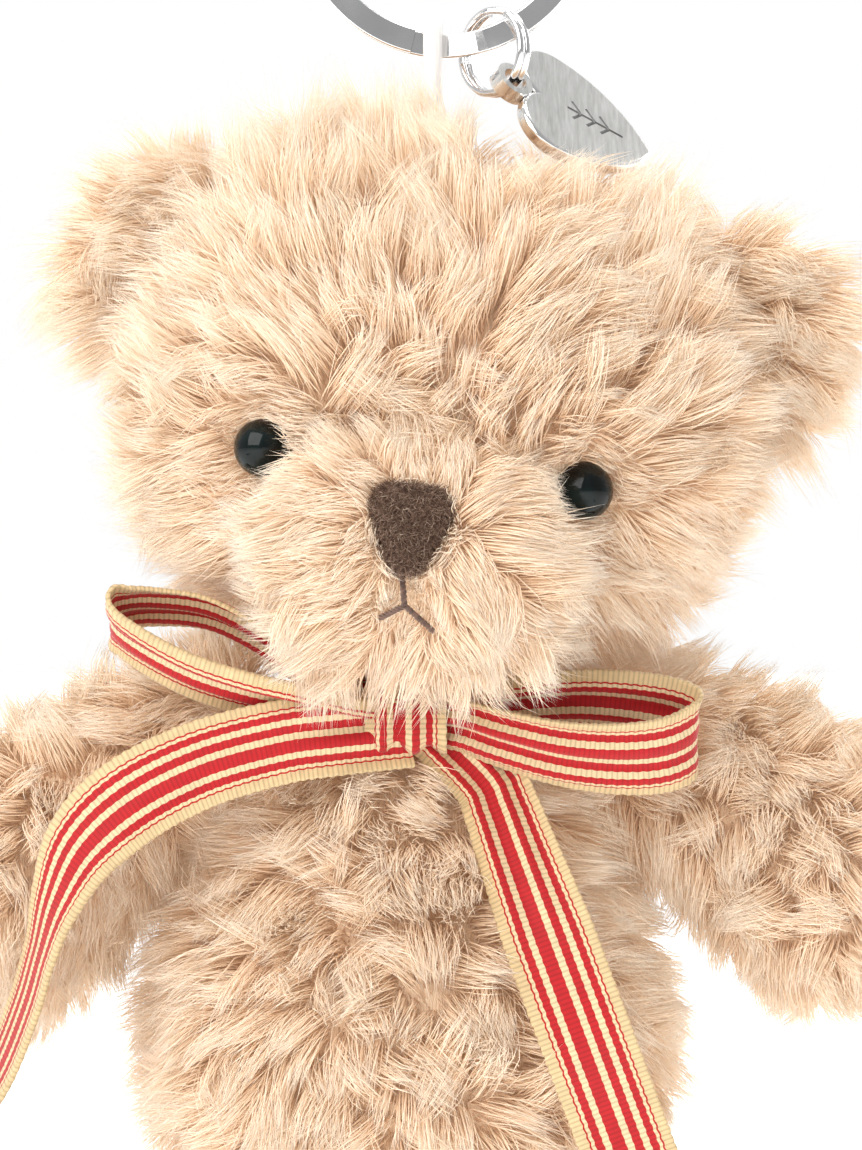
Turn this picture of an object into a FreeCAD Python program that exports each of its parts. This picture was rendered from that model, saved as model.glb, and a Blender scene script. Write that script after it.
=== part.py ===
import FreeCAD, Part
import math
import os

from FreeCAD import Placement, Rotation, Vector

# A plush bear keychain.  Millimetres, +Z up, the bear faces -Y.  The origin is the centre of
# the key ring, whose axis is Y.  A plush piece is a fabric shell: backing cloth with its pile
# pressed flat, around a filling.  The long tips of the pile aren't part of any solid.

# ---- key ring: a flat steel strip of two turns
KEY_RING_OUTER_R = 17.5
KEY_STRIP_W = 2.8            # radial width of the strip
KEY_STRIP_T = 1.0            # thickness of one turn
KEY_STRIP_EDGE_R = 0.25      # rounding of the strip's edges
KEY_STEP_FROM = -13.6        # the strip steps from the rear turn to the front one between
KEY_STEP_TO = 31.6           # these angles, in degrees from the lowest point towards +X
TURN_GAP = 0.12              # between the two turns of either ring
STEP_SECTIONS = 12           # sections along a step

# ---- split ring: round wire of two turns, linking the charm to the key ring
SPLIT_RING_OUTER_R = 5.25
SPLIT_WIRE_D = 0.9
SPLIT_RING_AT = 18.4         # where it hangs on the key ring, degrees from the lowest point
SPLIT_RING_TURN = -46.0      # about the vertical, away from the key ring's plane
SPLIT_RING_Y = -0.8          # in front of the key ring's middle plane
SPLIT_RING_SLACK = 1.2       # it rests on the strip's rear edge, a little slack at the middle
SPLIT_STEP_FROM = 150.0      # where its wire steps across
SPLIT_STEP_TO = 195.0

# ---- heart charm
CHARM_LENGTH = 17.5          # from the level of the cleft to the tip
CHARM_LOBE_R = 4.8
CHARM_LOBE_X = 3.9
CHARM_LOBE_Y = 3.4
CHARM_SIDE_R = 17.0
CHARM_T = 1.8
CHARM_EDGE_R = 0.6
CHARM_AT = 35.0              # where it hangs on the split ring, degrees from the lowest point
CHARM_LEAN = 62.0            # its long axis from straight down, in its own plane
EYELET_OUTER_R = 2.4
EYELET_HOLE_R = 1.5
CLEFT_GAP = 0.3              # between the cleft and the eyelet's hole
ENGRAVE_DEPTH = 0.15
ENGRAVE_W = 0.4
STEM_LENGTH = 8.0
LEAF_LENGTH = 2.0
LEAF_PAIRS = 3
LEAF_ANGLE = 50.0            # from the stem
STEM_FOOT = 4.5              # above the tip
LEAF_FOOT = 6.5              # of the lowest pair, above the tip

# ---- hanging cord
CORD_D = 2.2
CORD_X = -1.5
CORD_GAP = 0.3               # between the cord and the strip's corners
CORD_DEPTH = 4.0             # how far the cord runs on below the head's inner wall
KNOT_R = 4.8
KNOT_H = 5.0
KNOT_EDGE_R = 1.6

# ---- plush
PLUSH_T = 4.5                # backing and pressed pile
FILL_GAP = 0.3               # between the plush and its filling
SEW_GAP = 0.3                # between plush pieces that meet at a seam
LIMB_GAP = 0.5               # round a limb's root in its hollow
SEAM_WALL = 1.2              # cloth behind a limb's socket
FELT_GAP = 0.15              # around pieces set into the pile

# ---- head
BEAR_X = -4.5                # the bear's middle plane
HEAD_TILT = 7.7              # about Y, the top towards +X
HEAD_YAW = -2.5              # about Z, the face towards -X
HEAD_RISE = 30.0             # from the neck seam to the head's centre
HEAD_HALF_W = 35.0
HEAD_R = 28.5                # half its height and half its depth
NECK_Z = -88.0               # height of the neck seam
NECK_R = 13.0

# ---- muzzle and face, from the head's centre
MUZZLE_HALF_W = 17.0
MUZZLE_R = 13.5
MUZZLE_Y = -22.5
MUZZLE_Z = -15.6
EYE_R = 3.2
EYE_X = 18.2
EYE_Z = -8.1
EYE_SINK = 1.2               # the middle of the dome below the pile's surface
SHANK_R = 0.9
SHANK_L = 9.0
WASHER_R = 4.5
WASHER_T = 1.0
WASHER_DISH = 0.9            # the flat washer below the top of the curved cloth inside
NOSE_W = 9.2
NOSE_H = 9.8
NOSE_T = 3.2
NOSE_Z = -13.9
NOSE_ABOVE = 0.42            # share of its height above its seat
NOSE_SINK = 2.0
NOSE_CORNER_R = 2.2
NOSE_EDGE_R = 0.9
STITCH_D = 1.0
STITCH_SINK = 0.1            # its middle below the muzzle's surface
MOUTH_DROP = 3.2             # length of the upright stitch below the nose
MOUTH_REACH = 3.6            # sideways reach of each lower stitch
MOUTH_SHORT = 0.5            # the -X stitch beside the other
MOUTH_SLOPE = 1.4            # how far each lower stitch falls

# ---- ears: front and back panels sewn together at the rim
EAR_R = 12.0
EAR_HALF_T = 4.2
EAR_X = 32.0
EAR_Y = 2.0
EAR_Z = 12.0

# ---- torso
CHEST_R = 18.5
CHEST_DROP = 20.0            # from the neck seam to the middle of the chest
BELLY_R = 28.0
BELLY_DROP = 43.0            # from the neck seam to the middle of the belly

# ---- arms
SHOULDER_X = 22.9
SHOULDER_DROP = 6.5          # below the neck seam
ARM_ROOT_R = 8.5
PAW_R = 14.0
ARM_L = 32.0                 # from the shoulder to the middle of the paw
ARM_SLOPE = {"left": 38.0, "right": 32.0}    # below the horizontal

# ---- legs
HIP_X = 14.5
HIP_DROP = 69.0
LEG_ROOT_R = 11.0
ANKLE_R = 11.5
LEG_L = 30.0
LEG_SPLAY = 6.0
FOOT_HALF_L = 16.5
FOOT_R = 10.5
FOOT_FORWARD = 6.5

# ---- ribbon
RIBBON_W = 10.0
RIBBON_T = 0.5
RIBBON_GAP = 0.3             # between the ribbon and what it lies on
BAND_W = 6.0                 # the ribbon folded together round the neck
BAND_DROP = 3.7              # below the neck seam
BOW_DROP = 5.7
BOW_AHEAD = 0.5              # the knot's back, in front of the band
KNOT_HALF_W = 4.6
KNOT_HALF_H = 3.2
BOW_KNOT_T = 6.5
BOW_KNOT_EDGE_R = 1.4
LOOP_BEND_R = 3.1
LOOP_UP = 0.3                # the loops' middle above the knot's
LOOP_AHEAD = {"left": 0.0, "right": 0.8}     # how far in front of the chest each is pulled
LOOP_CORNER = 0.4            # room for the corner of a loop that leans
LEFT_LOOP_L = 28.0
LEFT_LOOP_RISE = 17.0        # degrees above the horizontal
RIGHT_LOOP_L = 27.0
RIGHT_LOOP_RISE = -7.0
RIGHT_TAIL_X = 6.5           # to the right of the bear's middle plane
RIGHT_TAIL_BACK = 0.9        # behind its place there, to lie on the chest with one edge
RIGHT_TAIL_LEAN = 20.5       # degrees from straight down
RIGHT_TAIL_FROM = 0.22       # where it starts, as a share of the way from the chest's round to
                             # the belly's
RIGHT_TAIL_TO = -28.0        # where it ends on the belly's round front, degrees above level
LEFT_TAIL_R = 41.0           # radius of the sweep along the ribbon's middle
LEFT_TAIL_SWEEP = 88.0
LEFT_TAIL_DROP = 1.5         # the middle of its start below the knot's

ORIGIN = Vector(0, 0, 0)
X_AXIS = Vector(1, 0, 0)
Y_AXIS = Vector(0, 1, 0)
Z_AXIS = Vector(0, 0, 1)
SIDES = {"left": -1, "right": 1}

neck = Vector(BEAR_X, 0, NECK_Z)
head_turn = Rotation(Z_AXIS, HEAD_YAW).multiply(Rotation(Y_AXIS, HEAD_TILT))
head_centre = neck + head_turn.multVec(Vector(0, 0, HEAD_RISE))
head_place = Placement(head_centre, head_turn)
chest = neck - Vector(0, 0, CHEST_DROP)
belly = neck - Vector(0, 0, BELLY_DROP)


def placed(shape, place):
    copy = shape.copy()
    copy.Placement = place.multiply(copy.Placement)
    return copy


def moved(shape, x=0.0, y=0.0, z=0.0):
    return placed(shape, Placement(Vector(x, y, z), Rotation()))


def turned(shape, axis, degrees, centre=ORIGIN):
    return placed(shape, Placement(ORIGIN, Rotation(axis, degrees), centre))


def fused(first, *others):
    return first.fuse(list(others)).removeSplitter()


def revolved(edges, axis):
    face = Part.Face(Part.Wire(edges))
    return face.revolve(ORIGIN, axis, 360)


def limb(root_r, end_r, length):
    """Two spheres along +X, the first on the origin, joined by the cone that touches both."""
    slope = math.asin((end_r - root_r) / length)
    touch = Vector(-math.sin(slope), math.cos(slope), 0)
    middle = Vector(length, 0, 0)
    rear = Vector(-root_r, 0, 0)
    front = middle + Vector(end_r, 0, 0)
    half_way = math.sqrt(0.5)
    root_touch = touch * root_r
    end_touch = middle + touch * end_r
    root_arc = Part.Arc(rear, Vector(-half_way, half_way, 0) * root_r, root_touch)
    end_arc = Part.Arc(end_touch, middle + Vector(half_way, half_way, 0) * end_r, front)
    edges = [root_arc.toShape(), Part.makeLine(root_touch, end_touch), end_arc.toShape()]
    return revolved(edges + [Part.makeLine(front, rear)], X_AXIS)


def pill(half_length, radius, axis=X_AXIS):
    """A cylinder with round ends, centred on the origin, along the axis."""
    straight = 2 * (half_length - radius)
    solid = moved(limb(radius, radius, straight), -straight / 2)
    return placed(solid, Placement(ORIGIN, Rotation(X_AXIS, axis)))


def cushion(radius, half_t):
    """A disc about Y whose rim is a full round."""
    flat_r = radius - half_t
    top = Vector(flat_r, half_t, 0)
    bottom = Vector(flat_r, -half_t, 0)
    rim = Part.Arc(top, Vector(radius, 0, 0), bottom).toShape()
    axis_top = Vector(0, half_t, 0)
    edges = [Part.makeLine(axis_top, top), rim, Part.makeLine(bottom, -axis_top), Part.makeLine(-axis_top, axis_top)]
    return revolved(edges, Y_AXIS)


def plush(shape_at):
    """The shell and the filling of a form; shape_at gives the form drawn in by a distance."""
    shell = shape_at(0.0).cut(shape_at(PLUSH_T))
    return shell, shape_at(PLUSH_T + FILL_GAP)


# ---- rings
def strip_section(radius, y):
    """The key ring strip's rounded section at the lowest point of the ring."""
    half_t = KEY_STRIP_T / 2
    half_w = KEY_STRIP_W / 2
    r = KEY_STRIP_EDGE_R
    middle = Vector(0, y, -radius)
    edges = []
    for quarter in range(4):
        wide, tall = (half_t, half_w) if quarter % 2 == 0 else (half_w, half_t)
        turn = Rotation(X_AXIS, 90 * quarter)
        straight_from = Vector(0, wide, r - tall)
        straight_to = Vector(0, wide, tall - r)
        bend_mid = Vector(0, wide - r + r * math.sqrt(0.5), tall - r + r * math.sqrt(0.5))
        bend_to = Vector(0, wide - r, tall)
        points = [middle + turn.multVec(p) for p in (straight_from, straight_to, bend_mid, bend_to)]
        edges.append(Part.makeLine(points[0], points[1]))
        edges.append(Part.Arc(points[1], points[2], points[3]).toShape())
    return Part.Wire(edges)


def wire_section(radius, y):
    """The split ring wire's round section at the lowest point of the ring."""
    return Part.Wire([Part.makeCircle(SPLIT_WIRE_D / 2, Vector(0, y, -radius), X_AXIS)])


def two_turn_ring(section, radius, pitch, step_from, step_to):
    """A ring of two turns about Y, one behind the other, with a step that joins them."""
    step = step_to - step_from
    turns = []
    for y in (-pitch / 2, pitch / 2):
        face = Part.Face(section(radius, y))
        face.rotate(ORIGIN, -Y_AXIS, step_to)
        turns.append(face.revolve(ORIGIN, -Y_AXIS, 360 - step))
    sections = []
    for k in range(STEP_SECTIONS + 1):
        share = k / STEP_SECTIONS
        ease = (1 - math.cos(math.pi * share)) / 2
        wire = section(radius, pitch / 2 - pitch * ease)
        wire.rotate(ORIGIN, -Y_AXIS, step_from + step * share)
        sections.append(wire)
    crossing = Part.makeLoft(sections, True, True)
    return turns[0].fuse([crossing, turns[1]])


key_mid_r = KEY_RING_OUTER_R - KEY_STRIP_W / 2
key_pitch = KEY_STRIP_T + TURN_GAP
split_mid_r = SPLIT_RING_OUTER_R - SPLIT_WIRE_D / 2
split_pitch = SPLIT_WIRE_D + TURN_GAP
split_hang_r = KEY_RING_OUTER_R - KEY_STRIP_W + split_mid_r - SPLIT_WIRE_D / 2 - SPLIT_RING_SLACK
split_angle = math.radians(SPLIT_RING_AT)
split_centre = Vector(math.sin(split_angle), 0, -math.cos(split_angle)) * split_hang_r + Y_AXIS * SPLIT_RING_Y
split_turn = Rotation(Z_AXIS, SPLIT_RING_TURN)


def key_ring():
    return two_turn_ring(strip_section, key_mid_r, key_pitch, KEY_STEP_FROM, KEY_STEP_TO)


def split_ring():
    ring = two_turn_ring(wire_section, split_mid_r, split_pitch, SPLIT_STEP_FROM, SPLIT_STEP_TO)
    return placed(ring, Placement(split_centre, split_turn))


# ---- charm: drawn in its own plane, the eyelet on the origin and the tip towards -Y
eyelet_drop = CHARM_LOBE_Y - math.sqrt(CHARM_LOBE_R ** 2 - CHARM_LOBE_X ** 2) + EYELET_HOLE_R + CLEFT_GAP


def circle_meeting(a, a_r, b, b_r):
    """Of the two points a_r from a and b_r from b, the one with the lower x."""
    apart = b - a
    d = apart.Length
    along = (d * d + a_r * a_r - b_r * b_r) / (2 * d)
    off = math.sqrt(a_r * a_r - along * along)
    foot = a + apart * (along / d)
    side = Vector(-apart.y, apart.x, 0) * (off / d)
    return min((foot + side, foot - side), key=lambda p: p.x)


def heart_outline():
    lobe = Vector(CHARM_LOBE_X, -CHARM_LOBE_Y, 0)
    tip = Vector(0, -CHARM_LENGTH, 0)
    side_centre = circle_meeting(lobe, CHARM_SIDE_R - CHARM_LOBE_R, tip, CHARM_SIDE_R)
    out = (lobe - side_centre).normalize()
    join = lobe + out * CHARM_LOBE_R
    cleft = Vector(0, -CHARM_LOBE_Y + math.sqrt(CHARM_LOBE_R ** 2 - CHARM_LOBE_X ** 2), 0)
    lobe_top = lobe + Vector(0.3, 1.0, 0).normalize() * CHARM_LOBE_R
    side_mid_dir = ((join - side_centre).normalize() + (tip - side_centre).normalize()).normalize()
    side_mid = side_centre + side_mid_dir * CHARM_SIDE_R
    right = [(cleft, lobe_top, join), (join, side_mid, tip)]
    edges = []
    for start, middle, end in right:
        edges.append(Part.Arc(start, middle, end).toShape())
    for start, middle, end in reversed(right):
        flipped = [Vector(-p.x, p.y, 0) for p in (end, middle, start)]
        edges.append(Part.Arc(*flipped).toShape())
    return Part.Wire(edges)


def engraved_sprig():
    """A stem with pairs of leaves, as thin bars that cut a groove."""
    def bar(length):
        return moved(Part.makeBox(ENGRAVE_W, length, ENGRAVE_DEPTH), -ENGRAVE_W / 2, 0, 0)

    bars = [moved(bar(STEM_LENGTH), 0, -CHARM_LENGTH + STEM_FOOT, 0)]
    for pair in range(LEAF_PAIRS):
        foot_y = -CHARM_LENGTH + LEAF_FOOT + pair * STEM_LENGTH / (LEAF_PAIRS + 1)
        for side in (-1, 1):
            leaf = turned(bar(LEAF_LENGTH), Z_AXIS, side * LEAF_ANGLE)
            bars.append(moved(leaf, 0, foot_y, 0))
    return fused(*bars)


split_u = split_turn.multVec(X_AXIS)
charm_angle = math.radians(CHARM_AT)
charm_seat = split_centre + (split_u * math.sin(charm_angle) - Z_AXIS * math.cos(charm_angle)) * split_mid_r
charm_normal = split_u * math.cos(charm_angle) + Z_AXIS * math.sin(charm_angle)


def charm_placement():
    """The eyelet's hole lies round the split ring's wire; the plate leans from straight down."""
    down = (-Z_AXIS + charm_normal * charm_normal.z).normalize()
    sideways = down.cross(charm_normal)
    lean = math.radians(CHARM_LEAN)
    up_plate = -(down * math.cos(lean) - sideways * math.sin(lean))
    face = Rotation(up_plate.cross(charm_normal), up_plate, charm_normal, "ZYX")
    return Placement(charm_seat, face)


def heart_charm():
    plate = Part.Face(heart_outline()).extrude(Vector(0, 0, CHARM_T))
    plate = plate.makeFillet(CHARM_EDGE_R, [e for e in plate.Edges if abs(e.tangentAt(e.FirstParameter).z) < 0.5])
    plate = moved(plate, 0, -eyelet_drop, 0)
    eyelet = Part.makeCylinder(EYELET_OUTER_R, CHARM_T)
    hole = Part.makeCylinder(EYELET_HOLE_R, CHARM_T)
    sprig = moved(engraved_sprig(), 0, -eyelet_drop, CHARM_T - ENGRAVE_DEPTH)
    charm = moved(plate.fuse(eyelet).cut([hole, sprig]), 0, 0, -CHARM_T / 2)
    return placed(charm, charm_placement())



# ---- hanging cord: up from the knot, round the key ring's strip, and down again
pivot = Vector(CORD_X, 0, -math.sqrt(key_mid_r ** 2 - CORD_X ** 2))
strip_corner_r = math.hypot(KEY_STRIP_W / 2, KEY_STRIP_T + TURN_GAP / 2)
cord_bend_r = strip_corner_r + CORD_GAP + CORD_D / 2
head_top_z = head_centre.z + HEAD_R
cord_end_z = head_top_z - PLUSH_T - CORD_DEPTH


def cord_tube(diameter, end_z):
    """Two straight legs and the half turn over the strip."""
    front = pivot - Y_AXIS * cord_bend_r
    rear = pivot + Y_AXIS * cord_bend_r
    bend = Part.Arc(front, pivot + Z_AXIS * cord_bend_r, rear).toShape()
    front_end = Vector(front.x, front.y, end_z)
    rear_end = Vector(rear.x, rear.y, end_z)
    path = Part.Wire([Part.makeLine(front_end, front), bend, Part.makeLine(rear, rear_end)])
    section = Part.Wire([Part.makeCircle(diameter / 2, front_end, Z_AXIS)])
    return path.makePipeShell([section], True, False), path.Length


def cord_knot():
    knot = Part.makeCylinder(KNOT_R, KNOT_H, Vector(pivot.x, 0, cord_end_z - KNOT_H))
    return knot.makeFillet(KNOT_EDGE_R, knot.Edges)


# ---- head, drawn about its own centre, upright
def head_form(inset):
    skull = placed(pill(HEAD_HALF_W - inset, HEAD_R - inset), head_place)
    seam_z = NECK_Z + SEW_GAP / 2 + inset
    tube = Part.makeCylinder(NECK_R - inset, head_centre.z - seam_z, Vector(BEAR_X, 0, seam_z))
    return fused(skull, tube)


def muzzle_form(inset):
    form = moved(pill(MUZZLE_HALF_W - inset, MUZZLE_R - inset), 0, MUZZLE_Y, MUZZLE_Z)
    return placed(form, head_place).cut(head_form(-SEW_GAP))


def ear_form(side):
    form = cushion(EAR_R, EAR_HALF_T)
    return placed(moved(form, side * EAR_X, EAR_Y, EAR_Z), head_place)


def ear_panels(side):
    """The front and the back panel meet face to face in the ear's middle plane."""
    whole = ear_form(side).cut(head_form(-SEW_GAP))
    room = 2 * EAR_R + HEAD_HALF_W
    front_room = Part.makeBox(2 * room, room, 2 * room, Vector(-room, EAR_Y - room, -room))
    front = whole.common(placed(front_room, head_place))
    back = whole.cut(placed(front_room, head_place))
    return front, back


# ---- face: each piece is set into the pile
def eye_frame(side):
    """On the head's surface, its Z looking out along the surface's normal."""
    past_bend = EYE_X - (HEAD_HALF_W - HEAD_R)
    out = Vector(side * past_bend, -math.sqrt(HEAD_R ** 2 - past_bend ** 2 - EYE_Z ** 2), EYE_Z)
    point = out + Vector(side * (HEAD_HALF_W - HEAD_R), 0, 0)
    return head_place.multiply(Placement(point, Rotation(Z_AXIS, out)))


def eye(side, grow=0.0):
    dome = Part.makeSphere(EYE_R + grow, Vector(0, 0, -EYE_SINK))
    shank = Part.makeCylinder(SHANK_R + grow, SHANK_L, Vector(0, 0, -EYE_SINK - SHANK_L))
    return placed(fused(dome, shank), eye_frame(side))


def washer(side):
    """A push-on washer that clamps the cloth from inside, round the shank."""
    z = -PLUSH_T - WASHER_T - WASHER_DISH
    disc = Part.makeCylinder(WASHER_R, WASHER_T, Vector(0, 0, z))
    disc = disc.cut(Part.makeCylinder(SHANK_R + FELT_GAP / 2, WASHER_T, Vector(0, 0, z)))
    return placed(disc, eye_frame(side))


def washer_room(side):
    """The hollow in the filling for the washer, open to the cloth."""
    z = -PLUSH_T - WASHER_T - WASHER_DISH - FILL_GAP
    return placed(Part.makeCylinder(WASHER_R + FILL_GAP, -z, Vector(0, 0, z)), eye_frame(side))


def face_place(z, sink):
    """On the muzzle's front at a height, its Y looking out of the surface."""
    rise = (z - MUZZLE_Z) / MUZZLE_R
    out = Vector(0, -math.sqrt(1 - rise ** 2), rise)
    point = Vector(0, MUZZLE_Y, MUZZLE_Z) + out * (MUZZLE_R - sink)
    return head_place.multiply(Placement(point, Rotation(-Y_AXIS, out)))


def nose(grow=0.0):
    """A felt shield, wide at the top, its corners and its point rounded."""
    half_w = NOSE_W / 2 + grow
    top = NOSE_ABOVE * NOSE_H + grow
    bottom = top - NOSE_H - 2 * grow
    corners = [Vector(-half_w, 0, top), Vector(half_w, 0, top), Vector(0, 0, bottom)]
    centres = [
        Vector(-half_w + NOSE_CORNER_R, 0, top - NOSE_CORNER_R),
        Vector(half_w - NOSE_CORNER_R, 0, top - NOSE_CORNER_R),
        Vector(0, 0, bottom + NOSE_CORNER_R),
    ]
    edges = []
    for k, centre in enumerate(centres):
        before = (centre - centres[k - 1]).normalize()
        after = (centres[(k + 1) % 3] - centre).normalize()
        out_before = before.cross(Y_AXIS)
        out_after = after.cross(Y_AXIS)
        middle_out = (out_before + out_after).normalize()
        start = centre + out_before * NOSE_CORNER_R
        end = centre + out_after * NOSE_CORNER_R
        edges.append(Part.Arc(start, centre + middle_out * NOSE_CORNER_R, end).toShape())
        next_start = centres[(k + 1) % 3] + out_after * NOSE_CORNER_R
        edges.append(Part.makeLine(end, next_start))
    outline = Part.Wire(edges)
    pad = Part.Face(outline).extrude(Vector(0, -NOSE_T - grow, 0))
    if grow == 0.0:
        front = [e for e in pad.Edges if e.BoundBox.YMax < -NOSE_T + 1e-6]
        pad = pad.makeFillet(NOSE_EDGE_R, front)
    else:
        pad = moved(pad, 0, grow, 0)
    return placed(pad, face_place(NOSE_Z, NOSE_SINK))


def mouth(grow=0.0):
    """One upright stitch and two short ones that spread from its foot."""
    radius = STITCH_D / 2 + grow
    top_z = NOSE_Z - (1 - NOSE_ABOVE) * NOSE_H - STITCH_D / 2 - SEW_GAP
    foot_z = top_z - MOUTH_DROP
    top = face_place(top_z, STITCH_SINK).Base
    foot = face_place(foot_z, STITCH_SINK).Base
    side_to = head_turn.multVec(X_AXIS) * MOUTH_REACH
    fall = face_place(foot_z - MOUTH_SLOPE, STITCH_SINK).Base - foot
    back = head_turn.multVec(Y_AXIS) * (MOUTH_REACH ** 2 / MUZZLE_HALF_W / 2)
    ends = [foot - side_to * MOUTH_SHORT + fall * MOUTH_SHORT, foot + side_to + fall + back]
    solids = [Part.makeSphere(radius, foot), Part.makeSphere(radius, top)]
    solids.append(Part.makeCylinder(radius, (foot - top).Length, top, foot - top))
    for end in ends:
        solids.append(Part.makeCylinder(radius, (end - foot).Length, foot, end - foot))
        solids.append(Part.makeSphere(radius, end))
    return fused(*solids)


# ---- torso and limbs
def torso_form(inset):
    """A pear-shaped trunk with a neck; a round hollow takes the root of each limb."""
    trunk = limb(CHEST_R - inset, BELLY_R - inset, BELLY_DROP - CHEST_DROP)
    trunk = placed(trunk, Placement(chest, Rotation(X_AXIS, -Z_AXIS)))
    top = NECK_Z - SEW_GAP / 2 - inset
    tube = Part.makeCylinder(NECK_R - inset, top - chest.z, Vector(BEAR_X, 0, chest.z))
    room = LIMB_GAP
    if inset > 0:
        room += SEAM_WALL + inset - PLUSH_T
    hollows = []
    for side in SIDES.values():
        hollows.append(Part.makeSphere(ARM_ROOT_R + room, shoulder(side)))
        hollows.append(Part.makeSphere(LEG_ROOT_R + room, hip(side)))
    return fused(trunk, tube).cut(hollows)


def shoulder(side):
    return neck + Vector(side * SHOULDER_X, 0, -SHOULDER_DROP)


def hip(side):
    return neck + Vector(side * HIP_X, 0, -HIP_DROP)


def arm_form(name, inset):
    side = SIDES[name]
    form = limb(ARM_ROOT_R - inset, PAW_R - inset, ARM_L)
    slope = math.radians(ARM_SLOPE[name])
    outward = Vector(side * math.cos(slope), 0, -math.sin(slope))
    return placed(form, Placement(shoulder(side), Rotation(X_AXIS, outward)))


def leg_down(side):
    splay = math.radians(LEG_SPLAY)
    return Vector(side * math.sin(splay), 0, -math.cos(splay))


def shin_form(name, inset):
    side = SIDES[name]
    form = limb(LEG_ROOT_R - inset, ANKLE_R - inset, LEG_L)
    return placed(form, Placement(hip(side), Rotation(X_AXIS, leg_down(side))))


def leg_form(name, inset):
    side = SIDES[name]
    ankle = hip(side) + leg_down(side) * LEG_L
    foot = pill(FOOT_HALF_L - inset, FOOT_R - inset, Y_AXIS)
    return fused(shin_form(name, inset), moved(foot, ankle.x, -FOOT_FORWARD, ankle.z))


# ---- ribbon: one length of ribbon, cut at the knot into the stretches that it shows
def strip_along(near, far):
    """A strip between two curves in the bear's middle plane, as wide as the ribbon along X."""
    start = Part.makeLine(near[0].firstVertex().Point, far[0].firstVertex().Point)
    end = Part.makeLine(near[-1].lastVertex().Point, far[-1].lastVertex().Point)
    wire = Part.Wire(Part.__sortEdges__(near + far + [start, end]))
    return moved(Part.Face(wire).extrude(Vector(RIBBON_W, 0, 0)), -RIBBON_W / 2)


band_z = NECK_Z - BAND_DROP
bow_z = NECK_Z - BOW_DROP
bow_y = -(NECK_R + 2 * RIBBON_GAP + RIBBON_T + BOW_AHEAD)
loop_y = bow_y - RIBBON_GAP - LOOP_BEND_R
left_tail_y = bow_y - BOW_KNOT_T - RIBBON_GAP


def neck_band():
    inner = NECK_R + RIBBON_GAP
    base = Vector(BEAR_X, 0, band_z - BAND_W / 2)
    return Part.makeCylinder(inner + RIBBON_T, BAND_W, base).cut(Part.makeCylinder(inner, BAND_W, base))


def bow_knot():
    box = Part.makeBox(2 * KNOT_HALF_W, BOW_KNOT_T, 2 * KNOT_HALF_H)
    box = box.makeFillet(BOW_KNOT_EDGE_R, box.Edges)
    return moved(box, BEAR_X - KNOT_HALF_W, bow_y - BOW_KNOT_T, bow_z - KNOT_HALF_H)


def bow_loop(side, length, rise, ahead):
    """A flattened ring of ribbon beside the knot, its width upright."""
    outer = LOOP_BEND_R
    inner = LOOP_BEND_R - RIBBON_T
    far = length - outer
    near = RIBBON_GAP + outer
    outside = slot_prism(near, far, outer)
    loop = outside.cut(slot_prism(near, far, inner))
    if side < 0:
        loop = loop.mirror(ORIGIN, X_AXIS)
    loop = turned(loop, Y_AXIS, -side * rise)
    return moved(loop, BEAR_X + side * (KNOT_HALF_W + LOOP_CORNER), loop_y - ahead, bow_z + LOOP_UP)


def slot_prism(x_from, x_to, radius):
    """An upright block with rounded ends, as tall as the ribbon is wide."""
    ends = [Part.makeCylinder(radius, RIBBON_W, Vector(x, 0, -RIBBON_W / 2)) for x in (x_from, x_to)]
    middle = Part.makeBox(x_to - x_from, 2 * radius, RIBBON_W, Vector(x_from, -radius, -RIBBON_W / 2))
    return fused(middle, *ends)


def right_tail():
    """It follows the torso's front down from under the knot."""
    slope = math.asin((BELLY_R - CHEST_R) / (BELLY_DROP - CHEST_DROP))
    end = math.radians(RIGHT_TAIL_TO)
    curves = []
    for off in (2 * RIBBON_GAP, 2 * RIBBON_GAP + RIBBON_T):
        upper = on_outline(chest, CHEST_R + off, slope)
        lower = [on_outline(belly, BELLY_R + off, a) for a in (slope, (slope + end) / 2, end)]
        first = upper + (lower[0] - upper) * RIGHT_TAIL_FROM
        curves.append([Part.makeLine(first, lower[0]), Part.Arc(*lower).toShape()])
    strip = strip_along(curves[0], curves[1])
    knot_middle = Vector(BEAR_X, 0, bow_z)
    return turned(moved(strip, RIGHT_TAIL_X, RIGHT_TAIL_BACK), Y_AXIS, -RIGHT_TAIL_LEAN, knot_middle)


def on_outline(centre, radius, angle):
    """A point on the torso's front outline, the angle above level."""
    return centre + Vector(0, -math.cos(angle), math.sin(angle)) * radius


def left_tail():
    """It sweeps out and down in an upright plane in front of the arm."""
    near = LEFT_TAIL_R - RIBBON_W / 2
    outer = Part.makeCylinder(near + RIBBON_W, RIBBON_T, ORIGIN, -Y_AXIS, LEFT_TAIL_SWEEP)
    inner = Part.makeCylinder(near, RIBBON_T, ORIGIN, -Y_AXIS, LEFT_TAIL_SWEEP)
    sweep = outer.cut(inner)
    centre_x = BEAR_X - KNOT_HALF_W - RIBBON_GAP
    centre = Vector(centre_x, left_tail_y, bow_z - LEFT_TAIL_DROP - LEFT_TAIL_R)
    return placed(sweep, Placement(centre, Rotation(Y_AXIS, 180)))


parts = {}
parts["key_ring"] = key_ring()
parts["split_ring"] = split_ring()
parts["heart_charm"] = heart_charm()

cord, cord_length = cord_tube(CORD_D, cord_end_z)
knot = cord_knot()
cord_hole = cord_tube(CORD_D + 2 * FELT_GAP, cord_end_z)[0]
knot_room_z = cord_end_z - KNOT_H - FILL_GAP
knot_room = Part.makeCylinder(KNOT_R + FILL_GAP, head_top_z - knot_room_z, Vector(pivot.x, 0, knot_room_z))
parts["hanging_cord"] = cord
parts["cord_knot"] = knot

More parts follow.
